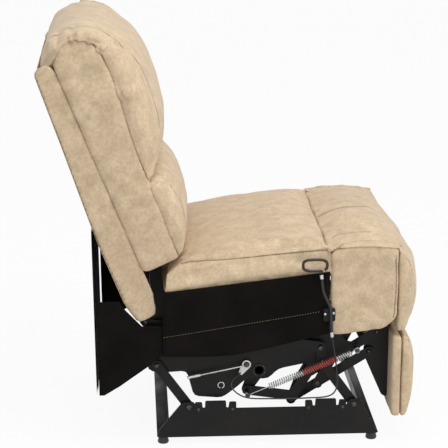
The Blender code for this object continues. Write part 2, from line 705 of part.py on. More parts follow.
cushion("front_roll", SEAT, TAN, ((-0.75, 0.0, 0.7), side_cuts(), (0.0,)), roll_form)


def chaise_form(a, b, c):
    """The chaise pad: hangs in front of the box, bulges forward and rounds off at its ends."""
    z = (BOX_TOP_Z + CHAISE_LOW_Z) / 2 + a * (BOX_TOP_Z - CHAISE_LOW_Z - SEAT_GAP) / 2
    y = b * (HALF - 0.004)
    bulge = CHAISE_BULGE * (1 - (a + 0.1) ** 2 * 0.82) * (1 - 0.35 * b * b)
    depth = (CHAISE_THICK + bulge) * (1 - 0.40 * b ** 8) - seam_dip(y) * (abs(b) < 0.9)
    return Vector((BOX_FRONT_X + SEAT_GAP + depth * (c + 1) / 2, y, z))


cushion("chaise_pad", CHAISE, TAN, ((-0.85, -0.3, 0.3, 0.85), side_cuts(), (0.0,)), chaise_form)

# Black cloth on the sides of the seat frame, below the cushion
cloth_y = side_rail_out + SEAT_GAP + CLOTH_THICK / 2
cloth_rear = SEAT_REAR_X + 0.003
cloth_front = SEAT_FRONT_X - 0.002
cloth_loop = [(cloth_rear, CLOTH_LOW_Z), (0.000, CLOTH_LOW_Z), (0.110, CLOTH_LOW_Z + 0.022),
              (cloth_front, CLOTH_LOW_Z + 0.052), (cloth_front, deck(cloth_front) - SEAT_GAP),
              (cloth_rear, deck(cloth_rear) - SEAT_GAP)]
pair("side_cloth", SEAT, CLOTH, [cloth_loop], cloth_y, CLOTH_THICK)

# Footrest linkage: cranks hang from the seat plates, arms run from them to the footrest
link("rear_crank", REAR_CRANK,
     [hull([(CRANK_PIVOT, BAR_HALF), (ARM_REAR, BAR_HALF), (UPPER_REAR, BAR_HALF)]), hole(CRANK_PIVOT)], 2,
     [(ARM_REAR, pin(2, 3)), (UPPER_REAR, pin(2, 3)), (ROD_ON_CRANK, pin(2, 1))])
link("front_crank", FRONT_CRANK,
     [hull([(FRONT_CRANK_PIVOT, BAR_HALF), (FRONT_CRANK_TIP, BAR_HALF)]), hole(FRONT_CRANK_PIVOT)], 2,
     [(FRONT_CRANK_TIP, pin(2, 3))])
link("long_arm", LONG_ARM,
     [hull([(ARM_REAR, BAR_HALF), (FOOT_PIVOT, BAR_HALF)]), hole(ARM_REAR), hole(FRONT_CRANK_TIP),
      hole(FOOT_PIVOT)], 3)
link("upper_arm", UPPER_ARM,
     [hull([(UPPER_REAR, BAR_HALF), (UPPER_FOOT, BAR_HALF)]), hole(UPPER_REAR), hole(UPPER_FOOT)], 3)

# Footrest: brackets, an upholstered board and its pad
board_back = FOOTREST_BOARD_BACK_X
bracket_front = board_back - SEAT_GAP
link("footrest_bracket", FOOTREST,
     [rounded([(bracket_front - 0.014, FOOTREST_LOW_Z + 0.038), (bracket_front, FOOTREST_LOW_Z + 0.032),
               (bracket_front, FOOTREST_TOP_Z - 0.002),
               UPPER_FOOT + Vector((-0.008, 0.012)), UPPER_FOOT + Vector((-0.013, 0.000)),
               FOOT_PIVOT + Vector((-0.013, 0.008)), FOOT_PIVOT + Vector((-0.011, -0.013))], 0.006)], 4,
     [(FOOT_PIVOT, pin(4, 3)), (UPPER_FOOT, pin(4, 3))])
board_front = board_back + FOOTREST_BOARD_THICK
plate("footrest_board", FOOTREST, TAN_SIDE,
      [rounded([(board_back, FOOTREST_LOW_Z + 0.008), (board_front, FOOTREST_LOW_Z + 0.004),
                (board_front, FOOTREST_TOP_Z - 0.004), (board_back, FOOTREST_TOP_Z - 0.004)], 0.006)], 0.0,
                2 * (HALF - 0.004))


def foot_form(a, b, c):
    """The footrest pad: a thin cushion, fullest at its middle."""
    z = (FOOTREST_LOW_Z + FOOTREST_TOP_Z) / 2 + a * (FOOTREST_TOP_Z - FOOTREST_LOW_Z) / 2
    y = b * (HALF - 0.004)
    taper = 1 - 0.42 * max(0.0, abs(a) - 0.5) / 0.5
    depth = FOOTREST_PAD_THICK * taper * (1 - 0.10 * b * b) - seam_dip(y) * (abs(b) < 0.9)
    return Vector((board_front + SEAT_GAP + depth * (c + 1) / 2, y, z))


cushion("footrest_pad", FOOTREST, TAN, ((-0.85, -0.3, 0.3, 0.85), side_cuts(), (0.0,)), foot_form)

# Drive shaft: a tube across the chair with a lever welded on near each end,
# whose studs pull the rods and springs
tube_end = MECH_Y + PLATE / 2 + 0.003
tube_profile = [(TUBE_RADIUS, tube_end), (TUBE_RADIUS, -tube_end), (TUBE_RADIUS - TUBE_WALL, -tube_end),
                (TUBE_RADIUS - TUBE_WALL, tube_end), (TUBE_RADIUS, tube_end)]
drive_shaft = add("drive_shaft",
                  turned_mesh("drive_shaft", [(tube_profile, LEVER_PIVOT.x, LEVER_PIVOT.y)], 16), LEVER,
                  STEEL)
lever_loops = [hull([(LEVER_PIVOT, TUBE_RADIUS + 0.008), (LEVER_TIP, BAR_HALF)]),
               circle(LEVER_PIVOT, TUBE_RADIUS - TUBE_WALL / 2, 16)]
hook_stud = [(0.0, stud_end), (PIN_RADIUS, stud_end), (PIN_RADIUS, layer_y(2)), (0.0, layer_y(2))]
for side_name, side in SIDES:
    stand = Matrix.Translation((0.0, side * layer_y(2), 0.0)) @ UPRIGHT
    combine(drive_shaft,
            shape("lever_" + side_name, flat_mesh("lever_" + side_name, lever_loops, PLATE, stand)),
            "UNION")
    stud = turned_mesh("hook_stud_" + side_name,
                       [([(radius, side * y) for radius, y in hook_stud], LEVER_TIP.x, LEVER_TIP.y)])
    combine(drive_shaft, shape("hook_stud_" + side_name, stud), "UNION")
link("drive_rod", ROD,
     [bent_bar([LEVER_TIP, (0.152, 0.093), (0.186, 0.145), ROD_ON_CRANK], BAR_HALF), hole(LEVER_TIP),
      hole(ROD_ON_CRANK)], 1)

# Opening springs: one unbroken wire each, a straight hook, open curls and a straight end
spring_axis = (SPRING_END - LEVER_TIP).normalized()
spring_across = Vector((-spring_axis.y, spring_axis.x))
coil_length = (SPRING_END - LEVER_TIP).length - SPRING_HOOK - 0.010
coil_steps = SPRING_CURLS * SPRING_POINTS
for side_name, side in SIDES:
    hook = LEVER_TIP + spring_axis * (SPRING_HOOK - SPRING_COIL_RADIUS)
    spring_run = [(LEVER_TIP.x, side * spring_y, LEVER_TIP.y), (hook.x, side * spring_y, hook.y)]
    for step in range(coil_steps + 1):
        angle = math.tau * step / SPRING_POINTS
        centre = LEVER_TIP + spring_axis * (SPRING_HOOK + coil_length * step / coil_steps)
        spot = centre + spring_across * SPRING_COIL_RADIUS * math.cos(angle)
        spring_run.append((spot.x, side * (spring_y + SPRING_COIL_RADIUS * math.sin(angle)), spot.y))
    spring_run.append((SPRING_END.x, side * spring_y, SPRING_END.y))
    tube("opening_spring_" + side_name, SEAT, SPRING, spring_run, SPRING_WIRE, 1)
print("spring curl gap %.4f m" % (coil_length / SPRING_CURLS - 2 * SPRING_WIRE))

# Back: brackets on the hinge, a glued wooden frame with two windows, and a web of straps
back_bracket_y = layer_y(-1)
link("back_bracket", BACK,
     [rounded([BAR_REAR + Vector((-0.013, -0.006)), BAR_REAR + Vector((0.010, -0.010)),
               HINGE + Vector((0.016, -0.010)),
               on_back(0.012, 0.040), on_back(0.006, 0.230), on_back(-0.018, 0.230),
               on_back(-0.028, 0.030)], 0.008),
      hole(HINGE)], -1, [(BAR_REAR, pin(-1, -2))])
frame_in = back_bracket_y + PLATE / 2 + SEAT_GAP
frame_out = frame_in + FRAME_SIDE
rail_in = back_bracket_y - PLATE / 2 - SEAT_GAP
LEAN_STAND = Matrix(((0.0, -math.sin(BACK_LEAN), math.cos(BACK_LEAN), HINGE_X), (1.0, 0.0, 0.0, 0.0),
                     (0.0, math.cos(BACK_LEAN), math.sin(BACK_LEAN), HINGE_Z), (0.0, 0.0, 0.0, 1.0)))


def rectangle(half_width, low, high):
    """A rectangle across the back from u = low to u = high."""
    return [(-half_width, low), (half_width, low), (half_width, high), (-half_width, high)]


frame_depth = FRAME_FRONT - FRAME_BACK
frame_stand = LEAN_STAND @ Matrix.Translation((0.0, 0.0, (FRAME_FRONT + FRAME_BACK) / 2))
frame_rim = [(-frame_out, 0.030), (-frame_in, 0.030), (-frame_in, 0.245), (frame_in, 0.245),
             (frame_in, 0.030),
             (frame_out, 0.030), (frame_out, WING_TOP - 0.020), (-frame_out, WING_TOP - 0.020)]
add("back_frame",
    flat_mesh("back_frame", [frame_rim, rectangle(frame_in, 0.290, WING_TOP - 0.065)], frame_depth,
              frame_stand),
    BACK, WOOD)
plate("back_rail_low", BACK, WOOD,
      [[on_back(FRAME_BACK, 0.050), on_back(FRAME_FRONT, 0.050), on_back(FRAME_FRONT, 0.100),
        on_back(FRAME_BACK, 0.100)]],
      0.0, 2 * rail_in)
web_stand = LEAN_STAND @ Matrix.Translation((0.0, 0.0, FRAME_FRONT + SEAT_GAP + WEB_THICK / 2))
add("back_webbing",
    flat_mesh("back_webbing", [rectangle(frame_out, 0.060, WING_TOP - 0.090)], WEB_THICK, web_stand), BACK,
    CLOTH)

# Outside of the back: one shell, padded wings at the sides and a board behind
wing_in = frame_out + SEAT_GAP
wing_out = wing_in + WING_THICK


def wing_outline(grow):
    """Side view of the wing, or of the room it needs."""
    return rounded([on_back(WING_REAR_TOP - grow, WING_TOP + grow),
                    on_back(WING_REAR_LOW + 0.001 - grow, 0.200),
                    on_back(WING_REAR_LOW - grow, 0.035), on_back(-0.044, -0.018 - grow),
                    on_back(0.004, -0.014 - grow),
                    on_back(WING_FRONT + grow, 0.040), on_back(WING_FRONT + grow, WING_TOP - 0.020),
                    on_back(0.004 + grow, WING_TOP + 0.008 + grow)], 0.012)


back_shell = plate("back_shell", BACK, TAN_SIDE, [wing_outline(0.0)], 0.0, 2 * wing_out)
wing_space = shape("wing_space",
                   flat_mesh("wing_space", [wing_outline(SEAT_GAP)], 2 * CHAIR_WIDTH, UPRIGHT))
inner_low = WING_REAR_LOW + OUTSIDE_THICK
hollow_loop = [on_back(WING_REAR_TOP + OUTSIDE_THICK, WING_TOP + 0.060), on_back(inner_low, 0.200),
               on_back(inner_low, 0.045),
               on_back(-0.090, 0.045), on_back(-0.090, -0.060), on_back(0.060, -0.060),
               on_back(0.060, WING_TOP + 0.060)]
hollow = flat_mesh("back_hollow", [hollow_loop], 2 * wing_in, UPRIGHT)
combine(back_shell, shape("back_hollow", hollow), "DIFFERENCE")


def along(points, t):
    """A point at t, from -1 to 1, on a smooth curve through evenly spaced points."""
    spot = (t + 1) / 2 * (len(points) - 1)
    index = min(int(spot), len(points) - 2)
    s = spot - index
    b = Vector(points[index])
    c = Vector(points[index + 1])
    a = Vector(points[index - 1]) if index else 2 * b - c
    d = Vector(points[index + 2]) if index + 2 < len(points) else 2 * c - b
    bend = (2 * a - 5 * b + 4 * c - d) * s ** 2 + (3 * b - a - 3 * c + d) * s ** 3
    return 0.5 * (2 * b + (c - a) * s + bend)


def rise(share):
    """A height on the back, from the pillow notch at 0 to the top of the wings at 1."""
    return PILLOW_NOTCH + share * (WING_TOP - PILLOW_NOTCH)


core_back = FRAME_FRONT + 2 * SEAT_GAP + WEB_THICK
CORE_FRONT_LINE = [(CORE_FRONT, LUMBAR_LOW), (CORE_FRONT, 0.24), (CORE_FRONT, rise(0.265)),
                   (0.128, rise(0.676)),
                   (0.134, rise(0.956)),
                   (0.105, CORE_TOP - 0.010), (0.055, CORE_TOP)]
CORE_BACK_LINE = [(core_back, LUMBAR_LOW), (core_back, 0.20), (core_back, rise(0.03)),
                  (core_back, rise(0.32)),
                  (core_back, rise(0.62)), (core_back, rise(0.85)), (core_back, WING_TOP)]


def core_form(a, b, c):
    """The filling between the frame and the front pillows, whose sides show as the back's boxing."""
    spot = along(CORE_BACK_LINE, a).lerp(along(CORE_FRONT_LINE, a), (c + 1) / 2)
    place = on_back(*spot)
    return Vector((place.x, b * (HALF - 0.006), place.y))


back_core = cushion("back_core", BACK, TAN_SIDE,
                    ((-0.93, -0.6, -0.2, 0.2, 0.55, 0.8), (-0.95, 0.95), (-0.8, 0.8)),
                    core_form)
core_space = shape("back_core_space", back_core.data.copy())
space_smooth = core_space.modifiers.new("soft_form", "SUBSURF")
space_smooth.levels = 1
space_smooth.render_levels = 1
back_core.modifiers.new("flat_faces", "TRIANGULATE")
core_space.modifiers.new("flat_faces", "TRIANGULATE")
space_gap = core_space.modifiers.new("gap", "DISPLACE")
space_gap.mid_level = 0.0
space_gap.strength = 1.5 * SEAT_GAP
PILLOW_SINK = 0.006
PILLOW_INNER = [(CORE_FRONT - PILLOW_SINK, PILLOW_NOTCH + 0.002), (CORE_FRONT - PILLOW_SINK, rise(0.265)),
                (0.120, rise(0.676)), (0.126, rise(0.941)), (0.098, CORE_TOP - 0.022),
                (0.050, CORE_TOP - 0.014),
                (0.008, WING_TOP - 0.010)]
PILLOW_OUTER = [(0.150, PILLOW_NOTCH + 0.001), (0.188, rise(0.244)), (0.206, rise(0.662)),
                (0.193, rise(0.985)),
                (0.132, BACK_TOP - 0.012), (0.042, BACK_TOP), (-0.038, WING_TOP - 0.012)]
LUMBAR_INNER = [(CORE_FRONT - PILLOW_SINK, LUMBAR_LOW + 0.004), (CORE_FRONT - PILLOW_SINK, 0.16),
                (CORE_FRONT - PILLOW_SINK, 0.225), (CORE_FRONT - PILLOW_SINK, PILLOW_NOTCH - 0.002)]
LUMBAR_OUTER = [(0.130, LUMBAR_LOW + 0.002), (0.167, 0.160), (0.170, 0.235), (0.150, PILLOW_NOTCH - 0.001)]


def pillow_form(inner, outer, a, b, c):
    """A pillow sewn on the core: full at its middle, rounded down to its sides."""
    base = along(inner, a)
    depth = (along(outer, a) - base) * (1 - 0.16 * b * b - 0.12 * b ** 6)
    place = on_back(*(base + depth * (c + 1) / 2))
    return Vector((place.x, b * (HALF - 0.004 + 0.004 * (1 - abs(c))), place.y))


def head_form(a, b, c):
    """The upper pillow, which wraps over the top of the back."""
    return pillow_form(PILLOW_INNER, PILLOW_OUTER, a, b, c)


def lumbar_form(a, b, c):
    """The lower pillow at the small of the back."""
    return pillow_form(LUMBAR_INNER, LUMBAR_OUTER, a, b, c)


head_pillow = cushion("head_pillow", BACK, TAN,
                      ((-0.96, -0.66, -0.33, 0.0, 0.3, 0.6, 0.86), (-0.9, -0.5, 0.0, 0.5, 0.9), (0.0,)),
                      head_form)
lumbar_pillow = cushion("lumbar_pillow", BACK, TAN,
                        ((-0.85, -0.3, 0.3, 0.92), (-0.9, -0.5, 0.0, 0.5, 0.9), (0.0,)), lumbar_form)
combine(head_pillow, core_space, "DIFFERENCE")
combine(head_pillow, wing_space, "DIFFERENCE")
combine(lumbar_pillow, core_space, "DIFFERENCE")

# The bar from each front swing link to the back, slotted at its front end
slot_radius = (PIN_RADIUS + PIVOT_GAP) / math.cos(math.pi / 12)
bar_slot = hull([(BAR_FRONT, slot_radius), (BAR_FRONT + polar(BAR_SLOT_RISE, BAR_SQUARE), slot_radius)])
link("back_drive_bar", BACK_DRIVE,
     [hull([(BAR_REAR, 0.010), (BAR_FRONT + polar(BAR_SLOT_RISE / 2, BAR_SQUARE), BAR_HALF + 0.001)]),
      hole(BAR_REAR), bar_slot], -2)

# Skirt that hangs behind the back, with a black gusset at each side that runs on inside the side cloth
skirt_half = HALF - SKIRT_INSET
skirt_back = SKIRT_HINGE.x - SKIRT_THICK / 2
skirt_foot = skirt_back + SKIRT_DRIFT
plate("rear_skirt", SKIRT, TAN_SIDE,
      [[(skirt_back, SKIRT_HINGE.y), (skirt_foot, SKIRT_LOW_Z), (skirt_foot + SKIRT_THICK, SKIRT_LOW_Z),
        (skirt_back + SKIRT_THICK, SKIRT_HINGE.y)]], 0.0, 2 * skirt_half)
GUSSET_TOP_Z = 0.355
gusset_rear = skirt_foot + SKIRT_THICK + SEAT_GAP
gusset_top_rear = gusset_rear - SKIRT_DRIFT * (GUSSET_TOP_Z - SKIRT_LOW_Z) / (SKIRT_HINGE.y - SKIRT_LOW_Z)
wing_foot = on_back(WING_REAR_LOW, 0.035)
gusset_y = (wing_out + cloth_y - CLOTH_THICK / 2) / 2
pair("skirt_gusset", SKIRT, CLOTH,
     [rounded([(gusset_rear, SKIRT_LOW_Z), (gusset_rear + 0.012, SKIRT_LOW_Z), (gusset_rear + 0.050, 0.142),
               (SEAT_REAR_X - 0.033, 0.190), (SEAT_REAR_X + 0.010, 0.226), (SEAT_REAR_X + 0.105, 0.226),
               (SEAT_REAR_X + 0.105, 0.292), (wing_foot.x + 0.040, 0.292),
               (wing_foot.x - 0.002, wing_foot.y - 0.004),
               (wing_foot.x - 0.012, GUSSET_TOP_Z), (gusset_top_rear, GUSSET_TOP_Z)], 0.008)], gusset_y,
               0.002)

# Release: a pull ring on a cable that runs down the right side to the latch pawl
clip_face = box_side_in + BOX_SIDE_THICK + SEAT_GAP
plate("cable_clip", SEAT, STEEL,
      [rounded([(CLIP_X - 0.014, CLIP_Z - 0.016), (CLIP_X + 0.014, CLIP_Z - 0.016),
                (CLIP_X + 0.014, CLIP_Z + 0.016),
                (CLIP_X - 0.014, CLIP_Z + 0.016)], 0.004)], -clip_face - CLIP_THICK / 2, CLIP_THICK)
cable_y = -(clip_face + CLIP_THICK + SEAT_GAP + CABLE_RADIUS)
sheath_route = [(RING_FOOT.x, cable_y, RING_FOOT.y - 0.0020), (CLIP_X - 0.0150, cable_y, CLIP_Z + 0.0580),
                (CLIP_X + 0.0005, cable_y, CLIP_Z + 0.0220), (CLIP_X + 0.0035, cable_y, CLIP_Z),
                (CLIP_X + 0.0045, cable_y, CLIP_Z - 0.0200), (CLIP_X + 0.0068, cable_y, CLIP_Z - 0.0530)]
tube("cable_sheath", SEAT, PLASTIC, smooth_run(sheath_route, 3), CABLE_RADIUS)
pawl_face = layer_y(-1) + PLATE / 2
wire_y = -(spring_y + SPRING_COIL_RADIUS + SPRING_WIRE + WIRE_RADIUS + 0.003)
wire_route = [(CLIP_X + 0.0069, cable_y, CLIP_Z - 0.0534), (CLIP_X + 0.014, cable_y + 0.002, 0.2200),
              (CLIP_X + 0.021, cable_y + 0.006, 0.1650), (CLIP_X + 0.021, wire_y, 0.1280),
              (CLIP_X + 0.002, wire_y, 0.1080),
              (0.1800, wire_y, 0.1040), (0.1000, wire_y, 0.1040), (LEVER_TIP_X - 0.003, wire_y, 0.1080),
              (LEVER_TIP_X - 0.035, wire_y + 0.006, 0.1260),
              (LEVER_TIP_X - 0.037, -pawl_face - 0.012, 0.1430),
              (PAWL_ARM.x, -pawl_face - WIRE_RADIUS - SEAT_GAP, PAWL_ARM.y)]
tube("release_wire", SEAT, PLASTIC, smooth_run(wire_route, 3), WIRE_RADIUS)
plate("latch_pawl", PAWL, ZINC, [hull([(PAWL_PIVOT, 0.011), (PAWL_ARM, 0.006)]), hole(PAWL_PIVOT)],
      -layer_y(-1))
ring_centre = RING_FOOT + Vector((-0.015, 0.0205))
ring_run = [(RING_FOOT.x, cable_y, RING_FOOT.y - 0.0010)]
RING_STEPS = 22
for step in range(RING_STEPS + 1):
    angle = math.radians(-68 - 338 * step / RING_STEPS)
    across = math.copysign(abs(math.cos(angle)) ** RING_SQUARENESS, math.cos(angle))
    up = math.copysign(abs(math.sin(angle)) ** RING_SQUARENESS, math.sin(angle))
    ring_run.append((ring_centre.x + RING_HALF_LENGTH * across, cable_y, ring_centre.y + RING_HALF_HEIGHT * up))
tube("release_ring", RING, PLASTIC, ring_run, RING_WIRE)

# The drawing's zero line is lifted so that the glides stand on the floor
for thing in list(RECLINER.objects) + list(SHAPES.objects):
    if thing.parent is None:
        thing.location.z += STAND_HEIGHT
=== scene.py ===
import math

import bmesh
import bpy
import numpy as np
from mathutils import Matrix, Vector
from mathutils.bvhtree import BVHTree


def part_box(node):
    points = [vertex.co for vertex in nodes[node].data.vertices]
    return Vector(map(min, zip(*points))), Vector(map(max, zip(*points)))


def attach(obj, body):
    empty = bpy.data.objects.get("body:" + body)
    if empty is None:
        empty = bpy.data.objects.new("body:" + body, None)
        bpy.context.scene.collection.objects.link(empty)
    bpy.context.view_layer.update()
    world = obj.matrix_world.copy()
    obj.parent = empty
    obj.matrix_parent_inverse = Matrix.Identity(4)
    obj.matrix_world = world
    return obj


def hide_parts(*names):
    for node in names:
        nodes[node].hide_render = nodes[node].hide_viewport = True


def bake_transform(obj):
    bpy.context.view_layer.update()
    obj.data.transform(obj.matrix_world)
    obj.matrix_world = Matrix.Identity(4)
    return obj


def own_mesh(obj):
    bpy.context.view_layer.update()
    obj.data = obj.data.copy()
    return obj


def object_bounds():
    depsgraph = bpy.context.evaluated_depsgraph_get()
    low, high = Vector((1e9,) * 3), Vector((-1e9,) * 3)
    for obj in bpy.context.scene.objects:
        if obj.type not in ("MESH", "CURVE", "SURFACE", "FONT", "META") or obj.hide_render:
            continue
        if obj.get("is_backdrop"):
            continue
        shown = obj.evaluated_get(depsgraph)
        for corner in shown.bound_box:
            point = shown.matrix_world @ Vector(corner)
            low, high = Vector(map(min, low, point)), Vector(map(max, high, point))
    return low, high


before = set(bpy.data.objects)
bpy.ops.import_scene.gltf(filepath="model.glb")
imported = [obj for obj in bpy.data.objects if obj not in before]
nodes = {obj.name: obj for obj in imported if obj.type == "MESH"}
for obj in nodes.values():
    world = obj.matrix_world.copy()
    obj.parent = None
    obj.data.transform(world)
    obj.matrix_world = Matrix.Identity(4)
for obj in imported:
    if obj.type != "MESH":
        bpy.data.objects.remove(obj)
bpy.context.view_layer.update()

# The studio: a pale floor, a white surround and soft lamps from above.
# The camera stands off the chair's right side and looks a little down on it.
scene = bpy.context.scene
scene.view_settings.view_transform = "Standard"


def new_node(tree, kind, **values):
    """A new shader node with its named inputs set."""
    made = tree.nodes.new("ShaderNode" + kind)
    for name, value in values.items():
        made.inputs[name].default_value = value
    return made


def link_nodes(tree, *wires):
    """Joins sockets given as (from node, from socket, to node, to socket)."""
    for start, out, end, into in wires:
        tree.links.new(start.outputs[out], end.inputs[into])


def seen_directly(tree):
    """A factor that is one for camera, mirror and see-through rays."""
    path = new_node(tree, "LightPath")
    first = new_node(tree, "Math")
    second = new_node(tree, "Math")
    first.operation = second.operation = "MAXIMUM"
    link_nodes(tree, (path, "Is Camera Ray", first, 0), (path, "Is Glossy Ray", first, 1),
               (first, 0, second, 0), (path, "Is Transmission Ray", second, 1))
    return second


surround = bpy.data.worlds.new("studio_surround")
scene.world = surround
surround.use_nodes = True
sky = surround.node_tree
sky.nodes.clear()
white = new_node(sky, "Background", Color=(1.0, 1.0, 1.0, 1.0), Strength=1.0)
soft = new_node(sky, "Background", Color=(1.0, 0.985, 0.96, 1.0), Strength=0.62)
choose = new_node(sky, "MixShader")
world_out = new_node(sky, "OutputWorld")
link_nodes(sky, (seen_directly(sky), 0, choose, 0), (soft, 0, choose, 1), (white, 0, choose, 2),
           (choose, 0, world_out, 0))


def new_piece(name, mesh, finish):
    """A mesh as a shown piece with its finish."""
    made = bpy.data.objects.new(name, mesh)
    mesh.materials.clear()
    mesh.materials.append(finish)
    scene.collection.objects.link(made)
    return made


def piece_from(name, form, finish):
    """A built form as a smooth shown piece."""
    mesh = bpy.data.meshes.new(name)
    form.to_mesh(mesh)
    form.free()
    mesh.shade_smooth()
    return new_piece(name, mesh, finish)


floor_finish = bpy.data.materials.new("pale_floor")
floor_finish.use_nodes = True
ground = floor_finish.node_tree
ground.nodes["Principled BSDF"].inputs["Base Color"].default_value = (0.86, 0.86, 0.86, 1.0)
ground.nodes["Principled BSDF"].inputs["Roughness"].default_value = 0.9
ground_white = new_node(ground, "Emission")
ground_mix = new_node(ground, "MixShader")
ground_share = new_node(ground, "Math")
ground_share.operation = "MULTIPLY"
ground_share.inputs[1].default_value = 0.93
link_nodes(ground, (seen_directly(ground), 0, ground_share, 0), (ground_share, 0, ground_mix, 0),
           (ground.nodes["Principled BSDF"], 0, ground_mix, 1), (ground_white, 0, ground_mix, 2),
           (ground_mix, 0, ground.nodes["Material Output"], 0))
floor_sheet = bmesh.new()
bmesh.ops.create_grid(floor_sheet, x_segments=2, y_segments=2, size=9.0)
floor = piece_from("studio_floor", floor_sheet, floor_finish)
floor.location.z = -0.0006
floor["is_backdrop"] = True


def soft_lamp(name, place, aim, width, power):
    """A square soft box that faces a point."""
    lamp = bpy.data.lights.new(name, "AREA")
    lamp.size = width
    lamp.energy = power
    holder = bpy.data.objects.new(name, lamp)
    holder.location = place
    holder.rotation_euler = (Vector(aim) - Vector(place)).to_track_quat("-Z", "Y").to_euler()
    holder.visible_camera = False
    scene.collection.objects.link(holder)


soft_lamp("key_lamp", (0.5, -1.2, 2.9), (0.0, 0.0, 0.45), 1.6, 34.0)
soft_lamp("front_lamp", (2.4, -1.4, 1.5), (0.1, 0.0, 0.4), 1.4, 12.0)

eye = bpy.data.cameras.new("product_camera")
eye.lens = 136.6
eye.sensor_width = 36.0
eye.clip_end = 60.0
camera = bpy.data.objects.new("product_camera", eye)
camera.location = (-0.2303, -4.0998, 1.6192)
PITCH = math.radians(15.5)
TURN = math.radians(-3.2)
ahead = Vector((-math.sin(TURN) * math.cos(PITCH), math.cos(TURN) * math.cos(PITCH), -math.sin(PITCH)))
camera.rotation_euler = ahead.to_track_quat("-Z", "Y").to_euler()
scene.collection.objects.link(camera)
scene.camera = camera

# Black steel: every plate, link and cross member of the mechanism is pressed plate, painted satin black.
# The paint has a fine peel, rubbed brown-grey patches and a little dust.


def finish_material(name, roughness, metallic=0.0):
    """A new Principled material with its shader and object coordinates."""
    made = bpy.data.materials.new(name)
    made.use_nodes = True
    shader = made.node_tree.nodes["Principled BSDF"]
    shader.inputs["Roughness"].default_value = roughness
    shader.inputs["Metallic"].default_value = metallic
    return made, shader, new_node(made.node_tree, "TexCoord")


def noise(place, scale, detail, stretch=None):
    """A noise texture in the piece's own space, stretched if asked."""
    tree = place.id_data
    made = new_node(tree, "TexNoise", Scale=scale, Detail=detail)
    if stretch:
        mapping = new_node(tree, "Mapping", Scale=stretch)
        link_nodes(tree, (place, "Object", mapping, 0), (mapping, 0, made, 0))
    else:
        link_nodes(tree, (place, "Object", made, 0))
    return made


def ramp(source, out, stops):
    """A colour ramp on a factor; stops are (position, grey or colour)."""
    made = new_node(source.id_data, "ValToRGB")
    bar = made.color_ramp.elements
    while len(bar) < len(stops):
        bar.new(0.5)
    for mark, (spot, colour) in zip(bar, stops):
        mark.position = spot
        mark.color = (*colour, 1.0) if isinstance(colour, tuple) else (colour, colour, colour, 1.0)
    link_nodes(source.id_data, (source, out, made, 0))
    return made


def output_of(source):
    """An output as it is, or the first output of a node."""
    return source.outputs[0] if isinstance(source, bpy.types.Node) else source


def feed(shader, socket, source):
    """Leads an output, or a node's first one, into one of the shader's sockets."""
    shader.id_data.links.new(output_of(source), shader.inputs[socket])


def mixed(shader, kind, amount, first, second):
    """A colour mix of two nodes, outputs or colours; the amount is a number, a node or an output."""
    made = new_node(shader.id_data, "Mix")
    made.data_type = "RGBA"
    made.blend_type = kind
    for value, into in ((amount, made.inputs[0]), (first, made.inputs[6]), (second, made.inputs[7])):
        if isinstance(value, (bpy.types.Node, bpy.types.NodeSocket)):
            shader.id_data.links.new(output_of(value), into)
        elif isinstance(value, tuple):
            into.default_value = (*value, 1.0)
        else:
            into.default_value = value
    return made.outputs[2]


def bumps(shader, *layers):
    """Bump layers, each (height, strength, distance in metres), one upon the other."""
    below = None
    for height, strength, distance in layers:
        made = new_node(shader.id_data, "Bump", Strength=strength, Distance=distance)
        feed(made, "Height", height)
        if below:
            feed(made, "Normal", below)
        below = made
    feed(shader, "Normal", below)


black_paint, shader, place = finish_material("satin_black_paint", 0.42)
rub = noise(place, 14.0, 5.0)
dust = noise(place, 160.0, 4.0)
peel = noise(place, 900.0, 2.0)
worn = ramp(rub, 0, [(0.42, (0.0042, 0.0038, 0.0036)), (0.62, (0.0095, 0.0082, 0.0074))])
dusted = ramp(dust, 0, [(0.60, 0.0), (0.78, 0.35)])
feed(shader, "Base Color", mixed(shader, "MIX", dusted, worn, (0.020, 0.017, 0.015)))
shader.inputs["Specular IOR Level"].default_value = 0.24
gloss = ramp(rub, 0, [(0.35, 0.34), (0.65, 0.52)])
feed(shader, "Roughness", gloss)
bumps(shader, (rub, 0.15, 0.0006), (peel, 0.12, 0.0002))
SIDES = {"right": -1, "left": 1}
PAIRED_STEEL = ("base_rail", "front_swing", "rear_swing", "seat_plate", "rear_crank", "front_crank",
                "long_arm", "upper_arm", "footrest_bracket", "drive_rod", "back_bracket", "back_drive_bar")
SINGLE_STEEL = ("base_cross_front", "base_cross_rear", "drive_shaft", "cable_clip")


def coat(node, finish):
    """Gives a CAD piece its finish."""
    nodes[node].data.materials.clear()
    nodes[node].data.materials.append(finish)


for name in PAIRED_STEEL:
    for side_name in SIDES:
        coat(name + "_" + side_name, black_paint)
for name in SINGLE_STEEL:
    coat(name, black_paint)

# Floor glides: four moulded feet of black plastic with a fine grain.
# Each is pressed into one end of a base rail and carries the chair on the floor.
black_plastic, shader, place = finish_material("moulded_black_plastic", 0.38)
grain = noise(place, 1400.0, 2.0)
cloudy = noise(place, 60.0, 3.0)
tone = ramp(cloudy, 0, [(0.3, (0.010, 0.010, 0.011)), (0.7, (0.020, 0.020, 0.021))])
feed(shader, "Base Color", tone)
bumps(shader, (grain, 0.2, 0.0002))
for end in ("rear_glide_", "front_glide_"):
    for side_name in SIDES:
        coat(end + side_name, black_plastic)

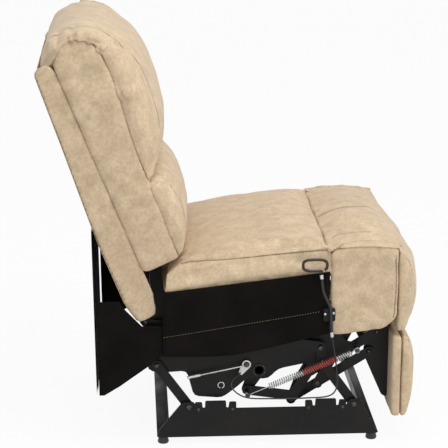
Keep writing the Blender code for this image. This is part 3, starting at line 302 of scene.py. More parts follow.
# Wooden frames: raw softwood rails of the seat and boards of the back, with rings and fibre in the grain.
# They are glued and stapled, and hidden under the covers.
raw_wood, shader, place = finish_material("raw_frame_wood", 0.72)
rings = noise(place, 18.0, 4.0, (1.0, 0.12, 6.0))
fibre = noise(place, 260.0, 3.0, (1.0, 0.06, 1.0))
timber = ramp(rings, 0,
              [(0.30, (0.42, 0.28, 0.15)), (0.55, (0.60, 0.44, 0.26)), (0.75, (0.50, 0.34, 0.19))])
feed(shader, "Base Color", mixed(shader, "MULTIPLY", 0.35, timber, fibre.outputs["Color"]))
bumps(shader, (fibre, 0.3, 0.0004))
for name in ("seat_frame", "front_board", "back_frame", "back_rail_low"):
    coat(name, raw_wood)

# Platform cloth: thin black cloth with a plain weave and a little lint, for the deck, the back's straps,
# the seat's sides and the skirt's lining. It is stretched and stapled to the frames.
platform_cloth, shader, place = finish_material("black_platform_cloth", 0.92)
weave_across = new_node(place.id_data, "TexWave", Scale=420.0)
weave_along = new_node(place.id_data, "TexWave", Scale=420.0)
weave_along.bands_direction = "Z"
link_nodes(place.id_data, (place, "Object", weave_across, 0), (place, "Object", weave_along, 0))
lint = noise(place, 300.0, 4.0)
fade = noise(place, 12.0, 3.0)
cloth_tone = ramp(fade, 0, [(0.35, (0.0045, 0.0037, 0.0031)), (0.70, (0.0085, 0.0068, 0.0056))])
lint_specks = ramp(lint, 0, [(0.66, 0.0), (0.80, 0.5)])
feed(shader, "Base Color", mixed(shader, "MIX", lint_specks, cloth_tone, (0.028, 0.022, 0.018)))
shader.inputs["Specular IOR Level"].default_value = 0.12
crossing = mixed(shader, "MULTIPLY", 1.0, weave_across.outputs["Color"], weave_along.outputs["Color"])
bumps(shader, (fade, 0.5, 0.004), (crossing, 0.35, 0.0004))
for name in ("seat_deck", "back_webbing"):
    coat(name, platform_cloth)

# Seat cushion: a foam block in a sewn tan cover, its top joined to a side boxing by a top-stitched seam.
# The cover, of faux suede with a cloudy tone and a fine nap, is blown up by its filling; it lies flat on the
# deck, and has shade painted into its colour where a seam or pucker draws it in.
TAN_PALE = (0.770, 0.620, 0.430)
TAN_MIDDLE = (0.680, 0.525, 0.345)
TAN_DEEP = (0.555, 0.425, 0.275)
TAN_BLUSH = (0.640, 0.480, 0.325)
# The next colour is painted shade: the dark brown that creases and pucker valleys are darkened towards.
CREASE_SHADE_BROWN = (0.150, 0.095, 0.055)
tan_cover, shader, place = finish_material("tan_faux_suede", 0.62)
cloud = noise(place, 7.0, 4.0)
mottle = noise(place, 34.0, 7.0)
nap = noise(place, 1100.0, 3.0)
pore = new_node(place.id_data, "TexVoronoi", Scale=420.0)
link_nodes(place.id_data, (place, "Object", pore, 0))
tone = ramp(mottle, 0, [(0.34, TAN_DEEP), (0.52, TAN_MIDDLE), (0.70, TAN_PALE)])
blush = ramp(cloud, 0, [(0.36, 0.0), (0.66, 0.55)])
body = mixed(shader, "MIX", blush, tone, TAN_BLUSH)
speck = noise(place, 150.0, 5.0)
brushed = ramp(speck, 0, [(0.36, 0.74), (0.62, 1.0)])
body = mixed(shader, "MULTIPLY", 0.55, body, brushed)
# Painted shade: a point attribute darkens the colour towards a dark brown in seams and pucker valleys, where
# shade falls.
crease = new_node(place.id_data, "Attribute")
crease.attribute_name = "crease"
drawn = ramp(crease, "Fac", [(0.0, 0.0), (1.0, 0.80)])
feed(shader, "Base Color", mixed(shader, "MIX", drawn, body, CREASE_SHADE_BROWN))
rough = ramp(mottle, 0, [(0.35, 0.54), (0.65, 0.70)])
feed(shader, "Roughness", rough)
shader.inputs["Sheen Weight"].default_value = 0.12
shader.inputs["Sheen Roughness"].default_value = 0.45
bumps(shader, (cloud, 0.25, 0.006), (mottle, 0.18, 0.0016),
      (pore.outputs["Distance"], 0.22, 0.0005), (nap, 0.25, 0.0003))


def points_of(piece):
    """The piece's points as an array."""
    found = np.zeros(len(piece.data.vertices) * 3)
    piece.data.vertices.foreach_get("co", found)
    return found.reshape(-1, 3)


def normals_of(piece):
    """The piece's outward directions as an array."""
    found = np.zeros(len(piece.data.vertices) * 3)
    piece.data.vertices.foreach_get("normal", found)
    return found.reshape(-1, 3)


def move_points(piece, places):
    """Puts the piece's points in new places."""
    piece.data.vertices.foreach_set("co", places.astype(np.float32).ravel())
    piece.data.update()


def fixed(piece):
    """Turns a piece's modifiers into plain mesh."""
    shown = piece.evaluated_get(bpy.context.evaluated_depsgraph_get())
    drawn = bpy.data.meshes.new_from_object(shown)
    piece.modifiers.clear()
    piece.data = drawn


def cover_over(name, node, cell, rounds):
    """A smooth tan cover with even faces over a CAD piece's form."""
    mesh = nodes[node].data.copy()
    welded = bmesh.new()
    welded.from_mesh(mesh)
    bmesh.ops.remove_doubles(welded, verts=welded.verts[:], dist=1e-5)
    welded.to_mesh(mesh)
    welded.free()
    piece = new_piece(name, mesh, tan_cover)
    even = piece.modifiers.new("even_faces", "REMESH")
    even.mode = "VOXEL"
    even.voxel_size = cell
    ease = piece.modifiers.new("ease", "SMOOTH")
    ease.iterations = rounds
    ease.factor = 0.5
    fixed(piece)
    piece.data.materials.clear()
    piece.data.materials.append(tan_cover)
    return piece


BLOWING_STEPS = 20


def swell(piece, draw_in, pressure, cap, held):
    """Draws the cover in, then blows it up by cloth simulation; held tells which points stay put."""
    outward = normals_of(piece)
    start = points_of(piece)
    resting = np.array([held(spot, way) for spot, way in zip(start, outward)])
    start = start - outward * draw_in * (~resting)[:, None]
    move_points(piece, start)
    group = piece.vertex_groups.new(name="held")
    group.add([int(i) for i in np.flatnonzero(resting)], 1.0, "REPLACE")
    cloth = piece.modifiers.new("cover", "CLOTH")
    for setting, value in (("quality", 4), ("mass", 0.20), ("tension_stiffness", 14.0),
                           ("compression_stiffness", 14.0), ("shear_stiffness", 6.0),
                           ("bending_stiffness", 0.6), ("use_pressure", True),
                           ("uniform_pressure_force", pressure), ("vertex_group_mass", "held")):
        setattr(cloth.settings, setting, value)
    cloth.settings.effector_weights.gravity = 0.0
    cloth.point_cache.frame_start = 1
    cloth.point_cache.frame_end = BLOWING_STEPS
    for step in range(1, BLOWING_STEPS + 1):
        scene.frame_set(step)
    shown = piece.evaluated_get(bpy.context.evaluated_depsgraph_get())
    blown = np.zeros(len(start) * 3)
    shown.data.vertices.foreach_get("co", blown)
    travel = blown.reshape(-1, 3) - start
    length = np.linalg.norm(travel, axis=1)
    shorter = np.minimum(1.0, cap / np.maximum(length, 1e-9))
    piece.modifiers.clear()
    scene.frame_set(1)
    move_points(piece, start + travel * shorter[:, None])


def kept_inside(piece, low, high):
    """Keeps a cover out of its neighbours: no point passes these corners."""
    move_points(piece, np.clip(points_of(piece), np.array(low), np.array(high)))


def finer(piece):
    """One subdivision, made plain mesh."""
    split = piece.modifiers.new("finer", "SUBSURF")
    split.levels = 1
    split.render_levels = 1
    fixed(piece)
    piece.data.shade_smooth()


def share(values, start, span):
    """How far values have come from start over a span, from 0 to 1; a span below zero counts downwards."""
    return np.clip((values - start) / span, 0.0, 1.0)


def at_side(y, *corners):
    """Places of the side view, each given as (x, z), at one y across the chair."""
    return [(x, y, z) for x, z in corners]


def sample(route, spacing):
    """Even points along a smooth curve through a route's points."""
    route = [Vector(p) for p in route]
    longer = [2 * route[0] - route[1]] + route + [2 * route[-1] - route[-2]]
    dense = []
    for a, b, c, d in zip(longer, longer[1:], longer[2:], longer[3:]):
        for step in range(24):
            t = step / 24
            dense.append(0.5 * (2 * b + (c - a) * t + (2 * a - 5 * b + 4 * c - d) * t ** 2
                                + (3 * b - a - 3 * c + d) * t ** 3))
    dense.append(route[-1])
    even = [dense[0]]
    left = spacing
    for before, after in zip(dense, dense[1:]):
        leg = (after - before).length
        while leg > 0 and left <= leg:
            before = before + (after - before) * (left / leg)
            leg -= left
            left = spacing
            even.append(before)
        left -= leg
    return even


POINTS_AT_ONCE = 4000


def near_route(piece, path, reach):
    """Points of a piece within reach of a path: their numbers, distances and places along it."""
    places = points_of(piece)
    line = np.array(path)
    box = np.all((places > line.min(0) - reach) & (places < line.max(0) + reach), axis=1)
    close = np.flatnonzero(box)
    gaps = np.full(len(close), 9.0)
    steps = np.zeros(len(close), int)
    for first in range(0, len(close), POINTS_AT_ONCE):
        part = slice(first, first + POINTS_AT_ONCE)
        apart = np.linalg.norm(places[close[part]][:, None, :] - line[None, :, :], axis=2)
        steps[part] = apart.argmin(1)
        gaps[part] = apart.min(1)
    inside = gaps < reach
    return close[inside], gaps[inside], steps[inside]


def on_cover(piece, route, spacing, inward=None):
    """A route laid on to a cover, straight in to the point that inward gives: places and outward ways."""
    laid = []
    for spot in sample(route, spacing):
        found = False
        if inward:
            middle = inward(spot)
            found, place, way, face = piece.ray_cast(2 * spot - middle, (middle - spot).normalized())
        if not found:
            found, place, way, face = piece.closest_point_on_mesh(spot)
        laid.append((place.copy(), way.copy()))
    return laid


def paint_crease_shade(piece, found, depth):
    """Paints shade into points of a cover that lie in a crease, by a depth from 0 to 1."""
    mark = piece.data.attributes.get("crease") or piece.data.attributes.new("crease", "FLOAT", "POINT")
    shade = np.zeros(len(piece.data.vertices), np.float32)
    mark.data.foreach_get("value", shade)
    shade[found] = np.maximum(shade[found], depth)
    mark.data.foreach_set("value", shade)


SEAM_STEP = 0.003
GATHER_STEP = 0.002


def sew(piece, route, depth, width, inward=None, shade=1.0):
    """Draws a cover in along a seam, paints shade into the crease and gives back the seam's line."""
    laid = on_cover(piece, route, SEAM_STEP, inward)
    found, gaps, steps = near_route(piece, [spot for spot, way in laid], 3.2 * width)
    places = points_of(piece)
    outward = normals_of(piece)
    places[found] -= outward[found] * (depth * np.exp(-(gaps / width) ** 2))[:, None]
    move_points(piece, places)
    # Painted shade along the seam's crease.
    paint_crease_shade(piece, found, shade * np.exp(-(gaps / (0.42 * width)) ** 2))
    return [spot - way * depth for spot, way in laid]


def gather(piece, route, height, spacing, reach, phase):
    """Puckers beside a seam, uneven and dying out away from it, with shade painted into their valleys."""
    laid = on_cover(piece, route, GATHER_STEP)
    found, gaps, steps = near_route(piece, [spot for spot, way in laid], 3.0 * reach)
    along = steps * GATHER_STEP
    turn = math.tau * (along / spacing + 0.45 * np.sin(along * 31.0 + phase)) + phase
    wave = 1.6 * (0.5 + 0.5 * np.sin(turn)) ** 2.2 - 0.6
    wave *= 0.7 + 0.5 * np.sin(0.37 * turn + 2.1 * phase)
    ends = share(np.minimum(along, along.max() - along), 0.0, 1.5 * spacing)
    fall = share(gaps, 0.0, 0.006) * np.exp(-gaps / reach) * (1.0 - (gaps / (3.0 * reach)) ** 2)
    places = points_of(piece)
    outward = normals_of(piece)
    places[found] += outward[found] * (height * wave * ends * fall)[:, None]
    move_points(piece, places)
    # Painted shade in the valleys of the puckers.
    paint_crease_shade(piece, found, 90.0 * height * np.clip(-wave, 0.0, 1.0) * ends * fall)


def rumple(piece, height, size, seed):
    """A slow unevenness of the filling under a cover."""
    places = points_of(piece)
    outward = normals_of(piece)
    swing = np.zeros(len(places))
    for turn in range(5):
        way = np.array([math.sin(seed + 2.1 * turn), math.cos(1.7 * seed + turn),
                        math.sin(0.6 * seed + 3.3 * turn)])
        swing += np.sin(places @ way * math.tau / (size * (0.7 + 0.25 * turn)) + seed * (turn + 1))
    move_points(piece, places + outward * (height * swing / 3.0)[:, None])


thread, shader, place = finish_material("brown_sewing_thread", 0.7)
twist = noise(place, 2600.0, 2.0)
strand = ramp(twist, 0, [(0.35, (0.085, 0.050, 0.028)), (0.65, (0.150, 0.095, 0.055))])
feed(shader, "Base Color", strand)
bumps(shader, (twist, 0.4, 0.0002))


def stitches(name, lines, finish, length=0.0052, gap=0.0022, radius=0.00065):
    """Single stitches along sewn lines, as one piece of short rods."""
    rods = bmesh.new()
    for line in lines:
        even = sample(line, (length + gap) / 4)
        for first in range(0, len(even) - 3, 4):
            start, end = even[first], even[first].lerp(even[first + 3], length / (0.75 * (length + gap)))
            if (end - start).length < 1e-5:
                continue
            turn = (end - start).to_track_quat("Z", "X").to_matrix().to_4x4()
            spot = Matrix.Translation((start + end) / 2) @ turn
            bmesh.ops.create_cone(rods, cap_ends=True, segments=5, radius1=radius, radius2=radius,
                                  depth=(end - start).length, matrix=spot)
    return piece_from(name, rods, finish)


SEAT_HALF = 0.2925
SEAT_FRONT_X = 0.2475
BOXING_SEAM_Y = 0.29
seat = cover_over("seat_cushion_cover", "seat_cushion", 0.0065, 3)
seat_low, seat_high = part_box("seat_cushion")
swell(seat, 0.004, 4.0, 0.012, lambda spot, way: way[2] < -0.6)
kept_inside(seat, (seat_low.x, -SEAT_HALF, seat_low.z), (seat_high.x, SEAT_HALF, seat_high.z + 0.008))
finer(seat)
rumple(seat, 0.0012, 0.16, 1.3)
seat_points = points_of(seat)
x, y, z = seat_points.T
front_share = share(x, 0.12, 0.112) ** 2
corner_share = share(x, 0.19, 0.042) * share(np.abs(y), 0.25, 0.04)
x[:] = np.minimum(x + 0.012 * front_share + 0.014 * corner_share, SEAT_FRONT_X)
y += np.sign(y) * 0.003 * corner_share
move_points(seat, seat_points)
seat_lines = []
for side in SIDES.values():
    boxing_seam = at_side(side * BOXING_SEAM_Y, (-0.116, 0.4575), (-0.060, 0.4635), (0.040, 0.473),
                          (0.140, 0.482), (0.232, 0.490))
    seat_lines.append(sew(seat, boxing_seam, 0.0022, 0.0050, lambda spot: Vector((spot.x, 0.0, spot.z))))
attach(seat, "seat")
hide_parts("seat_cushion")
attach(stitches("seat_top_stitching", seat_lines, thread), "seat")

# Front roll: a padded bolster of tan cover over fibre, across the seat's front edge.
# It is sewn from two halves, and its ends are lapped over the box panels, with soft gathers above the lap.
MIDDLE_SEAM_Y = 0.0
END_CREASE_Y = 0.204
END_GATHERS_Y = 0.27
LAP_SEAM_Y = 0.293
ROLL_HALF = 0.2935
CHANNELS_Y = (-0.098, 0.098)
CHANNEL_DEPTH = 0.0032
CHANNEL_WIDTH = 0.014


def channel_filling(y):
    """How far the stuffing rounds out the two channels of the plain pad at y."""
    return sum(CHANNEL_DEPTH * np.exp(-((y - channel) / CHANNEL_WIDTH) ** 2) for channel in CHANNELS_Y)


def box_rise(x):
    """How far the box panels' upper edge arches up under the roll's ends at x."""
    return np.interp(x, [0.238, 0.262, 0.300, 0.370, 0.402], [0.008, 0.016, 0.020, 0.021, 0.014])


def under_roll(spot):
    """The place in the roll's filling that a seam at spot is drawn towards."""
    return Vector((min(max(spot.x, 0.262), 0.385), spot.y, 0.470))


def inside_roll_end(spot):
    """The place in the roll's end that the lap seam at spot is drawn towards."""
    return spot - Vector((0.0, 0.1 * math.copysign(1.0, spot.y), 0.028))


roll = cover_over("front_roll_cover", "front_roll", 0.006, 5)
roll_low, roll_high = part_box("front_roll")
swell(roll, 0.003, 5.0, 0.012, lambda spot, way: way[2] < -0.6)
kept_inside(roll, (roll_low.x, -ROLL_HALF, roll_low.z), (roll_high.x + 0.014, ROLL_HALF, roll_high.z + 0.003))
finer(roll)
rumple(roll, 0.0010, 0.12, 2.2)
roll_points = points_of(roll)
x, y, z = roll_points.T
lap = share(np.abs(y), 0.250, 0.030) * share(z, roll_low.z + 0.045, -0.045)
z += (box_rise(x) - 0.004 - 0.010 * share(x, 0.264, -0.026)) * lap
y += np.sign(y) * 0.004 * lap
end_share = share(np.abs(y), 0.20, 0.08)
x -= (0.015 + 0.003 * end_share) * share(x, 0.268, -0.030)
crown_share = share(z - roll_low.z, 0.012, 0.040)
z += channel_filling(y) * crown_share
slope_share = share(np.abs(y), 0.09, 0.18)
brow_share = share(x, 0.335, 0.075) ** 1.5
rear_share = share(x, 0.272, -0.035) ** 1.5
z -= (0.015 + 0.008 * brow_share + 0.008 * rear_share
      + (0.011 + 0.014 * brow_share) * slope_share) * crown_share
x -= 0.009 * share(x, 0.365, 0.070)
move_points(roll, roll_points)
middle_seam = at_side(MIDDLE_SEAM_Y, (0.222, 0.512), (0.234, 0.540), (0.262, 0.560), (0.325, 0.578),
                      (0.390, 0.563), (0.433, 0.518), (0.437, 0.488))
roll_lines = [sew(roll, middle_seam, 0.0035, 0.008, under_roll)]
for side in SIDES.values():
    end_crease = at_side(side * END_CREASE_Y, (0.234, 0.535), (0.255, 0.552), (0.290, 0.560), (0.340, 0.562))
    sew(roll, end_crease, 0.0012, 0.007, under_roll, 0.75)
    lap_seam = at_side(side * LAP_SEAM_Y, (0.2454, 0.4955), (0.258, 0.507), (0.2713, 0.5141), (0.305, 0.518),
                       (0.338, 0.5187), (0.3752, 0.5121), (0.386, 0.504))
    roll_lines.append(sew(roll, lap_seam, 0.005, 0.005, inside_roll_end))
    end_gathers = at_side(side * END_GATHERS_Y, (0.250, 0.518), (0.300, 0.533), (0.360, 0.530),
                          (0.402, 0.508))
    gather(roll, end_gathers, 0.0016, 0.034, 0.020, 0.7 + side)
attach(roll, "seat")
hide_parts("front_roll")
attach(stitches("front_roll_stitching", roll_lines, thread), "seat")

# Front box sides: thin padded panels of tan cover on the wooden box below the roll's ends.
# They are pulled tight round their edges, with a fan of folds at the lower front corner, and stapled below.
PANEL_FACE_Y = 0.292
FAN_X, FAN_Z, FAN_REACH = 0.388, 0.304, 0.062
for side_name, side in SIDES.items():
    panel = cover_over("front_box_cover_" + side_name, "front_box_" + side_name, 0.005, 5)
    panel_low, panel_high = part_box("front_box_" + side_name)
    finer(panel)
    rumple(panel, 0.0008, 0.07, 3.0 + side)
    panel_points = points_of(panel)
    x, y, z = panel_points.T
    z += box_rise(x) * share(z - panel_high.z, -0.060, 0.060)
    move_points(panel, panel_points)
    outer = side * PANEL_FACE_Y
    for fan in range(5):
        lean = math.radians(98 + 17 * fan)
        tip = Vector((FAN_X + FAN_REACH * math.cos(lean), outer, FAN_Z + FAN_REACH * math.sin(lean)))
        gather(panel, [(0.382, outer, 0.308), tip], 0.0011, 0.030, 0.006, fan)
    front_seam = at_side(outer, (0.389, 0.322), (0.3925, 0.378), (0.3925, 0.438), (0.389, 0.476))
    panel_line = sew(panel, front_seam, 0.0015, 0.004)
    kept_inside(panel, (panel_low.x, panel_low.y - 0.002, panel_low.z),
                (panel_high.x, panel_high.y + 0.002, panel_high.z + 0.024))
    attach(panel, "seat")
    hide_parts("front_box_" + side_name)
    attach(stitches("front_box_stitching_" + side_name, [panel_line], thread), "seat")

# Chaise pad: a soft pad of tan cover over fibre, bulging forward between the seat and the footrest.
# It is sewn to the roll above and to the footrest below.
CHAISE_HALF = 0.2905
CHAISE_BULGE = 0.011
CHAISE_SEAM_Y = 0.262
CHAISE_EDGE_Y = 0.288
chaise = cover_over("chaise_pad_cover", "chaise_pad", 0.006, 5)
chaise_low, chaise_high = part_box("chaise_pad")
swell(chaise, 0.003, 5.0, 0.020, lambda spot, way: way[0] < -0.6)
kept_inside(chaise, (chaise_low.x, -CHAISE_HALF, chaise_low.z),
            (chaise_high.x + 0.018, CHAISE_HALF, chaise_high.z))
finer(chaise)
rumple(chaise, 0.0012, 0.11, 4.4)
chaise_points = points_of(chaise)
x, y, z = chaise_points.T
up = share(z, chaise_low.z, chaise_high.z - chaise_low.z)
out = share(x, chaise_low.x, chaise_high.x - chaise_low.x)
x += CHAISE_BULGE * out * np.sin(math.pi * up) ** 0.7
x += channel_filling(y) * out
x -= 0.009 * out * share(z, 0.432, 0.050)
move_points(chaise, chaise_points)
middle_seam = at_side(MIDDLE_SEAM_Y, (0.432, 0.488), (0.476, 0.458), (0.494, 0.388), (0.488, 0.328),
                      (0.440, 0.278))
chaise_lines = [sew(chaise, middle_seam, 0.0045, 0.009)]
for side in SIDES.values():
    side_seam = at_side(side * CHAISE_SEAM_Y, (0.422, 0.488), (0.465, 0.448), (0.480, 0.388), (0.474, 0.328),
                        (0.430, 0.278))
    chaise_lines.append(sew(chaise, side_seam, 0.0025, 0.005))
    edge_gathers = at_side(side * CHAISE_EDGE_Y, (0.408, 0.310), (0.415, 0.378), (0.412, 0.458))
    gather(chaise, edge_gathers, 0.0024, 0.040, 0.018, 1.0 + side)
chaise_thread = stitches("chaise_stitching", chaise_lines, thread)
for piece in (chaise, chaise_thread):
    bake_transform(piece)
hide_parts("chaise_pad")

# Side cloth: black platform cloth over the open sides of the seat frame, below the cushion.
# It is cut to an outline, stretched and stapled to the rails, with one pale stitched line along it.
CLOTH_SPACING = 0.012


def cloth_panel(name, corners, y, thickness, wave, finish):
    """A cloth panel in the side view, cut to its outline, gently waved and with a little thickness."""
    cut = bmesh.new()
    cut.faces.new([cut.verts.new((x, 0.0, z)) for x, z in corners])
    xs = [x for x, z in corners]
    zs = [z for x, z in corners]
    for axis, low, high in ((0, min(xs), max(xs)), (2, min(zs), max(zs))):
        normal = Vector((0.0, 0.0, 0.0))
        normal[axis] = 1.0
        for step in range(1, int((high - low) / CLOTH_SPACING) + 1):
            bmesh.ops.bisect_plane(cut, geom=cut.verts[:] + cut.edges[:] + cut.faces[:],
                                   plane_co=normal * (low + step * CLOTH_SPACING), plane_no=normal)
    for vert in cut.verts:
        x, z = vert.co.x, vert.co.z
        vert.co.y = y + wave * (math.sin(31.0 * x + 17.0 * z) + 0.6 * math.sin(58.0 * z - 23.0 * x + 1.0))
    bmesh.ops.recalc_face_normals(cut, faces=cut.faces[:])
    bmesh.ops.solidify(cut, geom=cut.faces[:], thickness=thickness)
    bmesh.ops.recalc_face_normals(cut, faces=cut.faces[:])
    return piece_from(name, cut, finish)


pale_thread, shader, place = finish_material("pale_sewing_thread", 0.7)
pale_twist = noise(place, 2600.0, 2.0)
pale_strand = ramp(pale_twist, 0, [(0.35, (0.26, 0.22, 0.12)), (0.65, (0.42, 0.37, 0.22))])
feed(shader, "Base Color", pale_strand)
SIDE_CLOTH_Y = 0.2865
PALE_LINE_Y = 0.2877
PALE_LINE = ((-0.160, 0.283), (-0.060, 0.298), (0.060, 0.317), (0.150, 0.331), (0.212, 0.341))
DECK_FOOT = 0.3935
DECK_RISE = math.tan(math.radians(6.5))
CLOTH_OUTLINE = [(-0.162, 0.234), (-0.080, 0.232), (0.000, 0.234), (0.060, 0.245), (0.110, 0.256),
                 (0.170, 0.271), (0.234, 0.286), (0.234, DECK_FOOT + 0.399 * DECK_RISE),
                 (-0.162, DECK_FOOT + 0.003 * DECK_RISE)]
for side_name, side in SIDES.items():
    cloth = cloth_panel("side_cloth_panel_" + side_name, CLOTH_OUTLINE, side * SIDE_CLOTH_Y, 0.0012, 0.0003,
                        platform_cloth)
    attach(cloth, "seat")
    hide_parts("side_cloth_" + side_name)
    pale_line = [Vector(spot) for spot in at_side(side * PALE_LINE_Y, *PALE_LINE)]
    pale = stitches("side_cloth_stitching_" + side_name, [pale_line], pale_thread, 0.0022, 0.0042, 0.0006)
    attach(pale, "seat")

# Footrest: a thin padded board behind and a soft pad in front, each in its own tan cover.
# The pad's cover has a seam down the middle and one near each end, and is stapled behind the board.
PAD_HALF = 0.2895
PAD_SEAM_Y = 0.270
board = cover_over("footrest_board_cover", "footrest_board", 0.006, 4)
finer(board)
rumple(board, 0.0006, 0.08, 5.1)
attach(board, "footrest")
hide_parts("footrest_board")
pad = cover_over("footrest_pad_cover", "footrest_pad", 0.006, 5)
pad_low, pad_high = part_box("footrest_pad")
swell(pad, 0.003, 5.0, 0.014, lambda spot, way: way[0] < -0.6)
kept_inside(pad, (pad_low.x, -PAD_HALF, pad_low.z - 0.002), (pad_high.x + 0.010, PAD_HALF, pad_high.z))
finer(pad)
rumple(pad, 0.0010, 0.10, 6.0)
pad_points = points_of(pad)
x, y, z = pad_points.T
x += channel_filling(y) * share(x, pad_low.x, pad_high.x - pad_low.x)
move_points(pad, pad_points)
middle_seam = at_side(MIDDLE_SEAM_Y, (0.429, 0.280), (0.457, 0.255), (0.467, 0.170), (0.457, 0.085),
                      (0.427, 0.060))
pad_lines = [sew(pad, middle_seam, 0.0040, 0.008)]
for side in SIDES.values():
    side_seam = at_side(side * PAD_SEAM_Y, (0.425, 0.278), (0.453, 0.243), (0.457, 0.168), (0.449, 0.093),
                        (0.425, 0.060))
    pad_lines.append(sew(pad, side_seam, 0.0022, 0.0045))
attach(pad, "footrest")
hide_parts("footrest_pad")
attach(stitches("footrest_stitching", pad_lines, thread), "footrest")

# Back core: foam between the back's wooden frame and the front pillows, in a tan cover.
# Its flat sides show as long tan panels between the pillows and the outside back.
LEAN = math.radians(22.0)
HINGE = Vector((-0.185, 0.348))
CORE_EASE = 0.0035


def on_back(v, y, u):
    """A place in the leaning back's own measures: v forward of the hinge, u up along the back."""
    return Vector((HINGE.x + v * math.cos(LEAN) - u * math.sin(LEAN), y,
                   HINGE.y + v * math.sin(LEAN) + u * math.cos(LEAN)))


core = cover_over("back_core_cover", "back_core", 0.006, 4)
finer(core)
rumple(core, 0.0009, 0.14, 7.3)
core_ways = normals_of(core)
core_ways[:, 1] = 0.0
move_points(core, points_of(core) + CORE_EASE * core_ways)
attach(core, "back")
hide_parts("back_core")

# Head pillow: the upper bolster, a tan cover filled with fibre and sewn over the top of the back.
# A seam runs down its front near each end, and its sides are gathered where they meet the core.
PILLOW_HALF = 0.2915
PILLOW_END_Y = 0.292
HEAD_SEAM_Y = 0.200
core_form = nodes["back_core"].data
core_solid = BVHTree.FromPolygons([v.co.copy() for v in core_form.vertices],
                                  [f.vertices[:] for f in core_form.polygons])


def touches_core(spot, way):
    """Whether a cover's point lies against the core."""
    found, normal, face, gap = core_solid.find_nearest(Vector(spot))
    return gap < 0.005


def pillow_ends_flat(piece):
    """Presses a pillow's two ends flat at the back's sides."""
    points = points_of(piece)
    points[:, 1] = np.clip(points[:, 1], -PILLOW_HALF, PILLOW_HALF)
    move_points(piece, points)


def back_line(y, corners):
    """Places on the leaning back, each given as (v, u), at one y across the chair."""
    return [on_back(v, y, u) for v, u in corners]


head = cover_over("head_pillow_cover", "head_pillow", 0.0068, 4)
swell(head, 0.004, 5.0, 0.016, touches_core)
pillow_ends_flat(head)
finer(head)
rumple(head, 0.0014, 0.15, 8.8)
head_points = points_of(head)
x, y, z = head_points.T
along_v = (x - HINGE.x) * math.cos(LEAN) + (z - HINGE.y) * math.sin(LEAN)
along_u = (z - HINGE.y) * math.cos(LEAN) - (x - HINGE.x) * math.sin(LEAN)
tail = share(along_v, 0.020, -0.045) * share(along_u, 0.715, -0.070)
crown = (1.0 - (y / 0.29) ** 2) * share(along_u, 0.60, 0.14)
for lowered, v, u in ((tail, -0.020, -0.034), (crown, 0.0, -0.011)):
    head_points += lowered[:, None] * np.array(on_back(v, 0.0, u) - on_back(0.0, 0.0, 0.0))
move_points(head, head_points)
FRONT_SEAM = ((0.010, 0.735), (0.052, 0.745), (0.085, 0.745), (0.125, 0.726), (0.171, 0.684),
              (0.197, 0.636), (0.209, 0.590), (0.212, 0.536), (0.206, 0.467), (0.196, 0.409),
              (0.180, 0.345), (0.160, 0.295))
RUCHED_CORNER = ((0.048, 0.676), (0.076, 0.674), (0.100, 0.664), (0.120, 0.646), (0.129, 0.611),
                 (0.126, 0.578))
RUCHED_SIDE = ((0.138, 0.576), (0.132, 0.518), (0.124, 0.441))
head_lines = []
for side in SIDES.values():
    head_lines.append(sew(head, back_line(side * HEAD_SEAM_Y, FRONT_SEAM), 0.0026, 0.0050,
                          lambda spot: on_back(0.060, spot.y, 0.500)))
    gather(head, back_line(side * PILLOW_END_Y, RUCHED_CORNER), 0.0085, 0.026, 0.021, 0.4 + side)
    gather(head, back_line(side * PILLOW_END_Y, RUCHED_SIDE), 0.0050, 0.050, 0.024, 2.0)
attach(head, "back")
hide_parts("head_pillow")
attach(stitches("head_pillow_stitching", head_lines, thread), "back")

# Lumbar pillow: the lower bolster at the small of the back, a tan cover filled with fibre.
# It is sewn to the core along its edges and tucked in at its lower corners.
LUMBAR_SEAM_Y = 0.222
LUMBAR_SEAM = ((0.150, 0.300), (0.168, 0.276), (0.175, 0.229), (0.164, 0.160), (0.146, 0.115),
               (0.120, 0.090))
LUMBAR_TUCK = ((0.112, 0.100), (0.114, 0.190))
lumbar = cover_over("lumbar_pillow_cover", "lumbar_pillow", 0.0065, 5)
swell(lumbar, 0.004, 5.0, 0.014, touches_core)
pillow_ends_flat(lumbar)
finer(lumbar)
rumple(lumbar, 0.0012, 0.13, 9.5)
lumbar_lines = []
for side in SIDES.values():
    lumbar_lines.append(sew(lumbar, back_line(side * LUMBAR_SEAM_Y, LUMBAR_SEAM), 0.0026, 0.0050,
                            lambda spot: on_back(0.108, spot.y, 0.200)))
    gather(lumbar, back_line(side * PILLOW_END_Y, LUMBAR_TUCK), 0.0020, 0.030, 0.018, 1.2)
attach(lumbar, "back")
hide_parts("lumbar_pillow")
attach(stitches("lumbar_stitching", lumbar_lines, thread), "back")

# Outside back: padded wings at the sides and a board behind, in one tan cover.
# The cover is drawn tight, stapled below and closed by a stitched line along the rear edge.
WELT_Y = 0.279
WELT = ((-0.034, 0.618), (-0.046, 0.400), (-0.055, 0.220), (-0.055, 0.050))
shell = cover_over("outside_back_cover", "back_shell", 0.0045, 3)
shell.data.shade_smooth()
rumple(shell, 0.0006, 0.12, 10.4)
shell_lines = [sew(shell, back_line(side * WELT_Y, WELT), 0.0012, 0.0030) for side in SIDES.values()]
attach(shell, "back")
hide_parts("back_shell")
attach(stitches("outside_back_stitching", shell_lines, thread), "back")

# Rear skirt: a hanging tan panel with a black lining, tacked to the foot of the outside back.
# A gusset of black platform cloth closes each end of it, up to the wing.
skirt_low, skirt_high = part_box("rear_skirt")
SKIRT_HALF = skirt_high.y - 0.001
SKIRT_TOP = skirt_high.z - 0.0008
SKIRT_FOOT = skirt_low.z + 0.0008
SKIRT_FOLD = 0.0005


